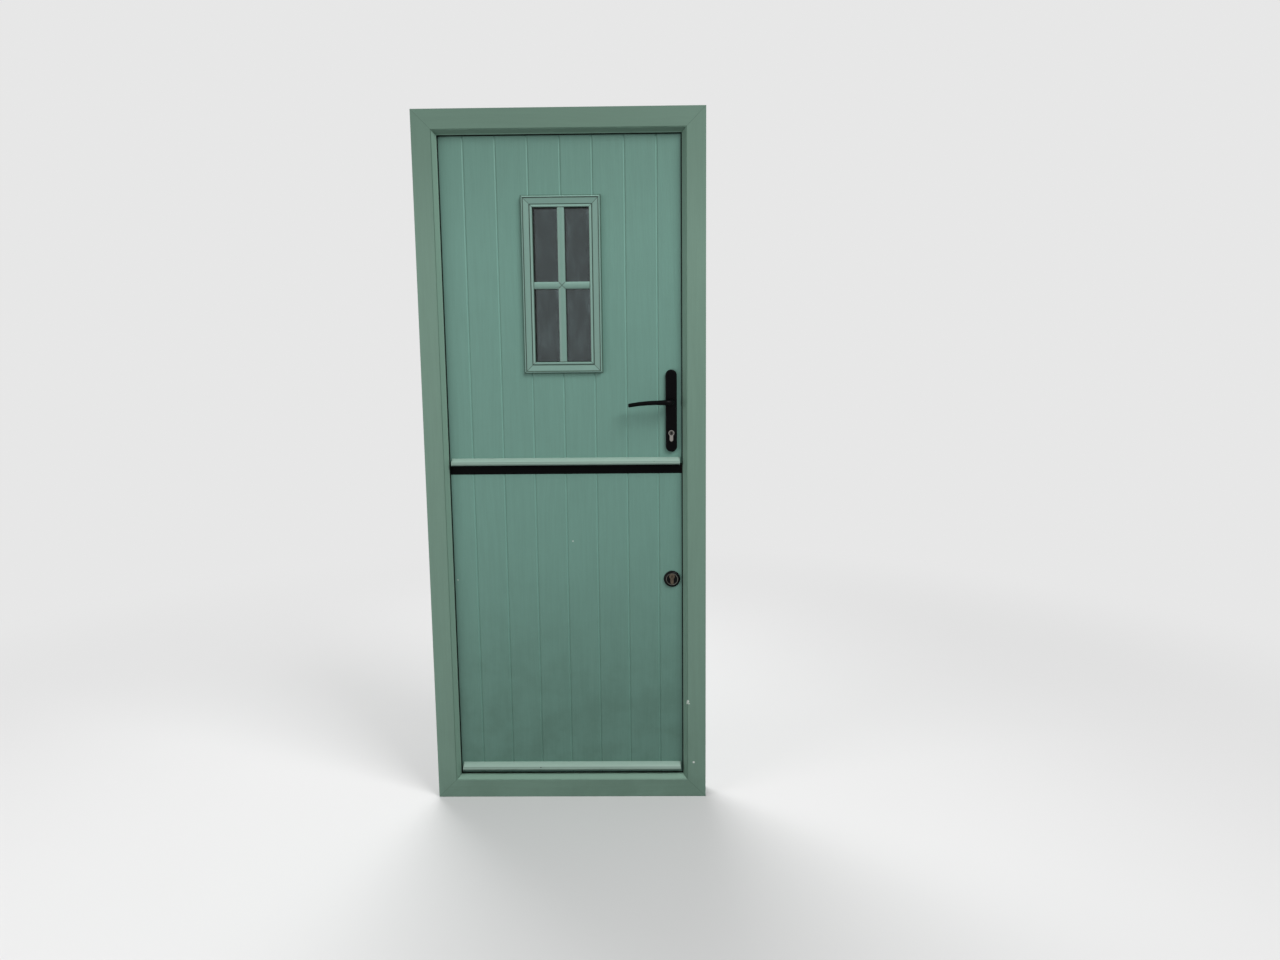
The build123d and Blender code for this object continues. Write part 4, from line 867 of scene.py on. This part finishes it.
class DOOR_OT_leaves(Operator):
    """Finish the planked skins and the black meeting rails"""

    bl_idname = "door.finish_leaves"
    bl_label = "Leaves"

    def execute(self, context):
        colours, finish = looks(context)
        dress(SKINS, skin_finish(colours, finish))
        dress(BLACK_RAILS, black_finish("Black rail", colours, finish, rough=0.5, dusty=0.04, gloss=0.05))
        return {"FINISHED"}


class DOOR_OT_light(Operator):
    """Finish the small light: moulding, panes and spacer"""

    bl_idname = "door.finish_light"
    bl_label = "Small light"

    def execute(self, context):
        colours, finish = looks(context)
        moulding = moulded_finish("Light moulding", colours.moulding, colours, finish, lines=surround_lines)
        dress(MOULDINGS, moulding)
        dress(PANES, glass_finish(colours))
        dress(("glass_spacer",), metal_finish("Spacer bar", colours.galvanised, finish, rough=0.35))
        return {"FINISHED"}


class DOOR_OT_bars(Operator):
    """Finish the weather bars and their end caps"""

    bl_idname = "door.finish_bars"
    bl_label = "Weather bars"

    def execute(self, context):
        colours, finish = looks(context)
        for node in WEATHER_BARS:
            lines = functools.partial(bar_lines, node=node)
            bar = moulded_finish(f"Bar of {node}", colours.bar, colours, finish, 0.36, BAR_SPECKS, lines)
            dress((node,), bar)
        dress(BAR_CAPS, moulded_finish("Bar cap", shade(colours.bar, 1.1), colours, finish, rough=0.5))
        return {"FINISHED"}


class DOOR_OT_furniture(Operator):
    """Finish the handles, the link bolt and the cylinders"""

    bl_idname = "door.finish_furniture"
    bl_label = "Handles and cylinders"

    def execute(self, context):
        colours, finish = looks(context)
        # The rose gets a painted highlight round its cylinder
        rose = black_finish("Black rose", colours, finish, rough=0.4, dusty=0.08, gloss=0.1, ring_highlight=painted_ring_highlight)
        plug = metal_finish("Worn plug", colours.plug, finish, rough=0.4, turn=ALONG_Y, stain=0.6)
        bronze = metal_finish("Aged bronze", colours.bronze, finish, rough=0.38, turn=ALONG_Y, stain=0.8)
        dress(HANDLES, black_finish("Black handle", colours, finish, rough=0.34, dusty=0.04, gloss=0.06))
        dress(ROSES, rose)
        dress(LINK_BOLT, black_finish("Black bolt", colours, finish, rough=0.42, dusty=0.08))
        dress(NICKEL, metal_finish("Satin nickel", colours.nickel, finish, rough=0.24, turn=ALONG_Y))
        dress(("upper_key_plug",), plug)
        dress(BRONZE, bronze)
        return {"FINISHED"}


class DOOR_OT_locks(Operator):
    """Finish the lock cases, bolts, faceplates, keeps and the frame's steels"""

    bl_idname = "door.finish_locks"
    bl_label = "Locks and keeps"

    def execute(self, context):
        colours, finish = looks(context)
        dress(PLATED, metal_finish("Plated strip", colours.steel, finish, rough=0.3))
        dress(GALVANISED, zinc_finish(colours))
        bolt = shade(colours.steel, 0.92)
        dress(BOLTS, metal_finish("Plated bolt", bolt, finish, rough=0.26, turn=ALONG_X))
        return {"FINISHED"}


class DOOR_OT_hinges(Operator):
    """Finish the hinges and cap their barrels"""

    bl_idname = "door.finish_hinges"
    bl_label = "Hinges"

    def execute(self, context):
        colours, finish = looks(context)
        height = context.scene.door_fixings.cap_height
        black = black_finish("Hinge paint", colours, finish, rough=0.4, dusty=0.06)
        dress(HINGE_PLATES, black)
        dress(("hinge_pins",), metal_finish("Hinge pin", colours.steel, finish, rough=0.25))
        pin_low, pin_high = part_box("hinge_pins")
        axis = (pin_low + pin_high) / 2
        for number, leaf in HINGE_LEAVES.items():
            foot = Vector((axis.x, axis.y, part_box(f"hinge_frame_plate_{number}")[0].z))
            head = Vector((axis.x, axis.y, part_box(f"hinge_leaf_plate_{number}")[1].z))
            hinge_cap(f"hinge_foot_cap_{number}", foot, height, False, black, "frame")
            hinge_cap(f"hinge_head_cap_{number}", head, height, True, black, leaf)
        return {"FINISHED"}


class DOOR_OT_screws(Operator):
    """Add the screw heads of hinges, faceplates, keeps and inside furniture"""

    bl_idname = "door.add_screws"
    bl_label = "Screws"

    def execute(self, context):
        colours, finish = looks(context)
        fixings = context.scene.door_fixings
        plated = metal_finish("Plated screw", colours.steel, finish, rough=0.28)
        black = metal_finish("Blackened screw", colours.screw, finish, rough=0.36)
        sides = fixings.screw_sides
        large, small = fixings.hinge_screw, fixings.small_screw
        fine = FINE_SCREW * small
        inward, lockward, hingeward = (0, 1, 0), (1, 0, 0), (-1, 0, 0)

        for number, leaf in HINGE_LEAVES.items():
            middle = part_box(f"hinge_frame_plate_{number}")[0].z / MM + HINGE_HALF_HEIGHT
            frame_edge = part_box(f"hinge_frame_plate_{number}")[0].x / MM
            leaf_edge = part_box(f"hinge_leaf_plate_{number}")[1].x / MM
            for side, body, edge, sign, face in (
                ("frame", "frame", frame_edge, 1, HINGE_FRAME_FACE),
                ("leaf", leaf, leaf_edge, -1, HINGE_LEAF_FACE),
            ):
                spots = [((edge + sign * x, face, middle + z), inward) for x, z in HINGE_SCREWS]
                screw_row(f"hinge_{side}_screws_{number}", spots, large, sides, black, body)

        for leaf, heights in EDGE_SCREWS.items():
            node = leaf.replace("leaf", "faceplate")
            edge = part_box(node)[1].x / MM
            spots = [((edge, EDGE_MIDDLE, z), lockward) for z in heights]
            screw_row(f"{node}_screws", spots, small, sides, plated, leaf)

        keep_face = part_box("hook_keeps")[0].x / MM
        spots = [((keep_face, EDGE_MIDDLE, z), hingeward) for z in KEEP_SCREWS]
        screw_row("keep_screws", spots, small, sides, plated, "frame")

        spots = [((HANDLE_X, HANDLE_PLATE_FACE, z), inward) for z in PLATE_SCREWS]
        screw_row("handle_plate_screws", spots, small, sides, black, "upper_leaf")

        rose_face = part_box("lower_escutcheon_inner")[1].y / MM
        spots = [((HANDLE_X + x, rose_face, ROSE_Z), inward) for x in ROSE_SCREWS]
        screw_row("escutcheon_screws", spots, fine, sides, black, "lower_leaf")

        for node, leaf, heights in (
            ("link_bolt_housing", "upper_leaf", HOUSING_SCREWS),
            ("link_bolt_keep", "lower_leaf", LINK_KEEP_SCREWS),
        ):
            low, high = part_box(node)
            middle = (low.x + high.x) / 2 / MM
            face = low.y / MM + FLANGE_THICKNESS
            spots = [((middle + x, face, z), inward) for z in heights for x in FLANGE_SCREWS]
            screw_row(f"{node}_screws", spots, fine, sides, black, leaf)
        return {"FINISHED"}


def floor_finish(stage):
    """Pale floor that takes the door's shadow and runs out into the backdrop."""
    material, tree, shader, spot = finish_of("Pale floor", {"Roughness": 0.85, "Specular IOR Level": 0.1})
    path = tree.nodes.new("ShaderNodeLightPath").outputs
    mottle = noise(tree, spot, scale=1.2, detail=3)
    darker, paler = shade(stage.backdrop, 0.86), shade(stage.backdrop, 0.88)
    base = tinted(tree, path["Is Diffuse Ray"], tinted(tree, mottle, darker, paler), stage.bounce)
    fill(tree, shader, {"Base Color": base})
    away = place(tree, "ShaderNodeVectorMath", {"operation": "LENGTH"}, {0: spot}).outputs["Value"]
    seen = strongest(tree, path["Is Camera Ray"], path["Is Glossy Ray"], path["Is Transmission Ray"])
    far = maths(tree, "MULTIPLY", spread(tree, away, *FLOOR_FADE), seen)
    glow = place(tree, "ShaderNodeEmission", None, {"Color": (*stage.backdrop, 1), "Strength": 1.0})
    both = place(tree, "ShaderNodeMixShader", None, {0: far, 1: shader.outputs[0], 2: glow.outputs[0]})
    ending = next(node for node in tree.nodes if node.type == "OUTPUT_MATERIAL")
    fill(tree, ending, {"Surface": both.outputs[0]})
    return material


def studio_world(stage):
    """Even light from all round, and the backdrop where it is seen directly."""
    world = bpy.data.worlds.new("Studio")
    world.use_nodes = True
    tree = world.node_tree
    tree.nodes.clear()
    around = place(tree, "ShaderNodeBackground", None, {"Color": (1, 1, 1, 1), "Strength": stage.ambient})
    seen = place(tree, "ShaderNodeBackground", None, {"Color": (*stage.backdrop, 1), "Strength": 1.0})
    path = tree.nodes.new("ShaderNodeLightPath").outputs
    direct = strongest(tree, path["Is Camera Ray"], path["Is Glossy Ray"], path["Is Transmission Ray"])
    both = place(tree, "ShaderNodeMixShader", None, {0: direct, 1: around.outputs[0], 2: seen.outputs[0]})
    place(tree, "ShaderNodeOutputWorld", None, {"Surface": both.outputs[0]})
    return world


def studio_light(name, power, size, spot, aim):
    """Square area light at a spot, aimed at a point."""
    data = bpy.data.lights.new(name, "AREA")
    data.energy = power
    data.size = size
    light = bpy.data.objects.new(name, data)
    light.location = spot
    light.rotation_euler = (Vector(aim) - Vector(spot)).to_track_quat("-Z", "Y").to_euler()
    bpy.context.scene.collection.objects.link(light)


class DOOR_OT_stage(Operator):
    """Set the pale floor, the soft lights and the camera"""

    bl_idname = "door.set_stage"
    bl_label = "Stage"

    def execute(self, context):
        scene = context.scene
        stage = scene.door_stage
        scene.view_settings.view_transform = "Standard"
        scene.world = studio_world(stage)

        mesh = bmesh.new()
        bmesh.ops.create_grid(mesh, x_segments=4, y_segments=4, size=FLOOR_HALF)
        bmesh.ops.translate(mesh, verts=mesh.verts, vec=(0, 0, -FLOOR_DROP))
        data = bpy.data.meshes.new("Floor")
        mesh.to_mesh(data)
        mesh.free()
        data.materials.append(floor_finish(stage))
        floor = bpy.data.objects.new("Floor", data)
        scene.collection.objects.link(floor)

        for name, (size, spot, aim) in STUDIO_LIGHTS.items():
            studio_light(name.title(), getattr(stage, name), size, spot, aim)

        data = bpy.data.cameras.new("Camera")
        data.sensor_width = SENSOR_WIDTH
        data.lens = stage.lens
        camera = bpy.data.objects.new("Camera", data)
        camera.location = stage.camera
        camera.rotation_euler = stage.turn
        scene.collection.objects.link(camera)
        scene.camera = camera
        return {"FINISHED"}


STEPS = (
    DOOR_OT_frame,
    DOOR_OT_leaves,
    DOOR_OT_light,
    DOOR_OT_bars,
    DOOR_OT_furniture,
    DOOR_OT_locks,
    DOOR_OT_hinges,
    DOOR_OT_screws,
    DOOR_OT_stage,
)


class DOOR_PT_sidebar(Panel):
    """Steps that dress the door"""

    bl_idname = "DOOR_PT_sidebar"
    bl_label = "Stable door"
    bl_space_type = "VIEW_3D"
    bl_region_type = "UI"
    bl_category = "Door"

    def draw(self, context):
        for step in STEPS:
            self.layout.operator(step.bl_idname)


GROUPS = (
    ("door_colours", DoorColours),
    ("door_finish", DoorFinish),
    ("door_fixings", DoorFixings),
    ("door_stage", DoorStage),
)


def register():
    """Add the settings to the scene, and the operators and the panel."""
    for name, group in GROUPS:
        bpy.utils.register_class(group)
        setattr(bpy.types.Scene, name, PointerProperty(type=group))
    for step in STEPS:
        bpy.utils.register_class(step)
    bpy.utils.register_class(DOOR_PT_sidebar)


def unregister():
    """Take away what register added."""
    bpy.utils.unregister_class(DOOR_PT_sidebar)
    for step in reversed(STEPS):
        bpy.utils.unregister_class(step)
    for name, group in reversed(GROUPS):
        delattr(bpy.types.Scene, name)
        bpy.utils.unregister_class(group)


def main():
    """Dress the door step by step."""
    register()
    for step in STEPS:
        area, call = step.bl_idname.split(".")
        getattr(getattr(bpy.ops, area), call)()


if __name__ == "__main__":
    main()
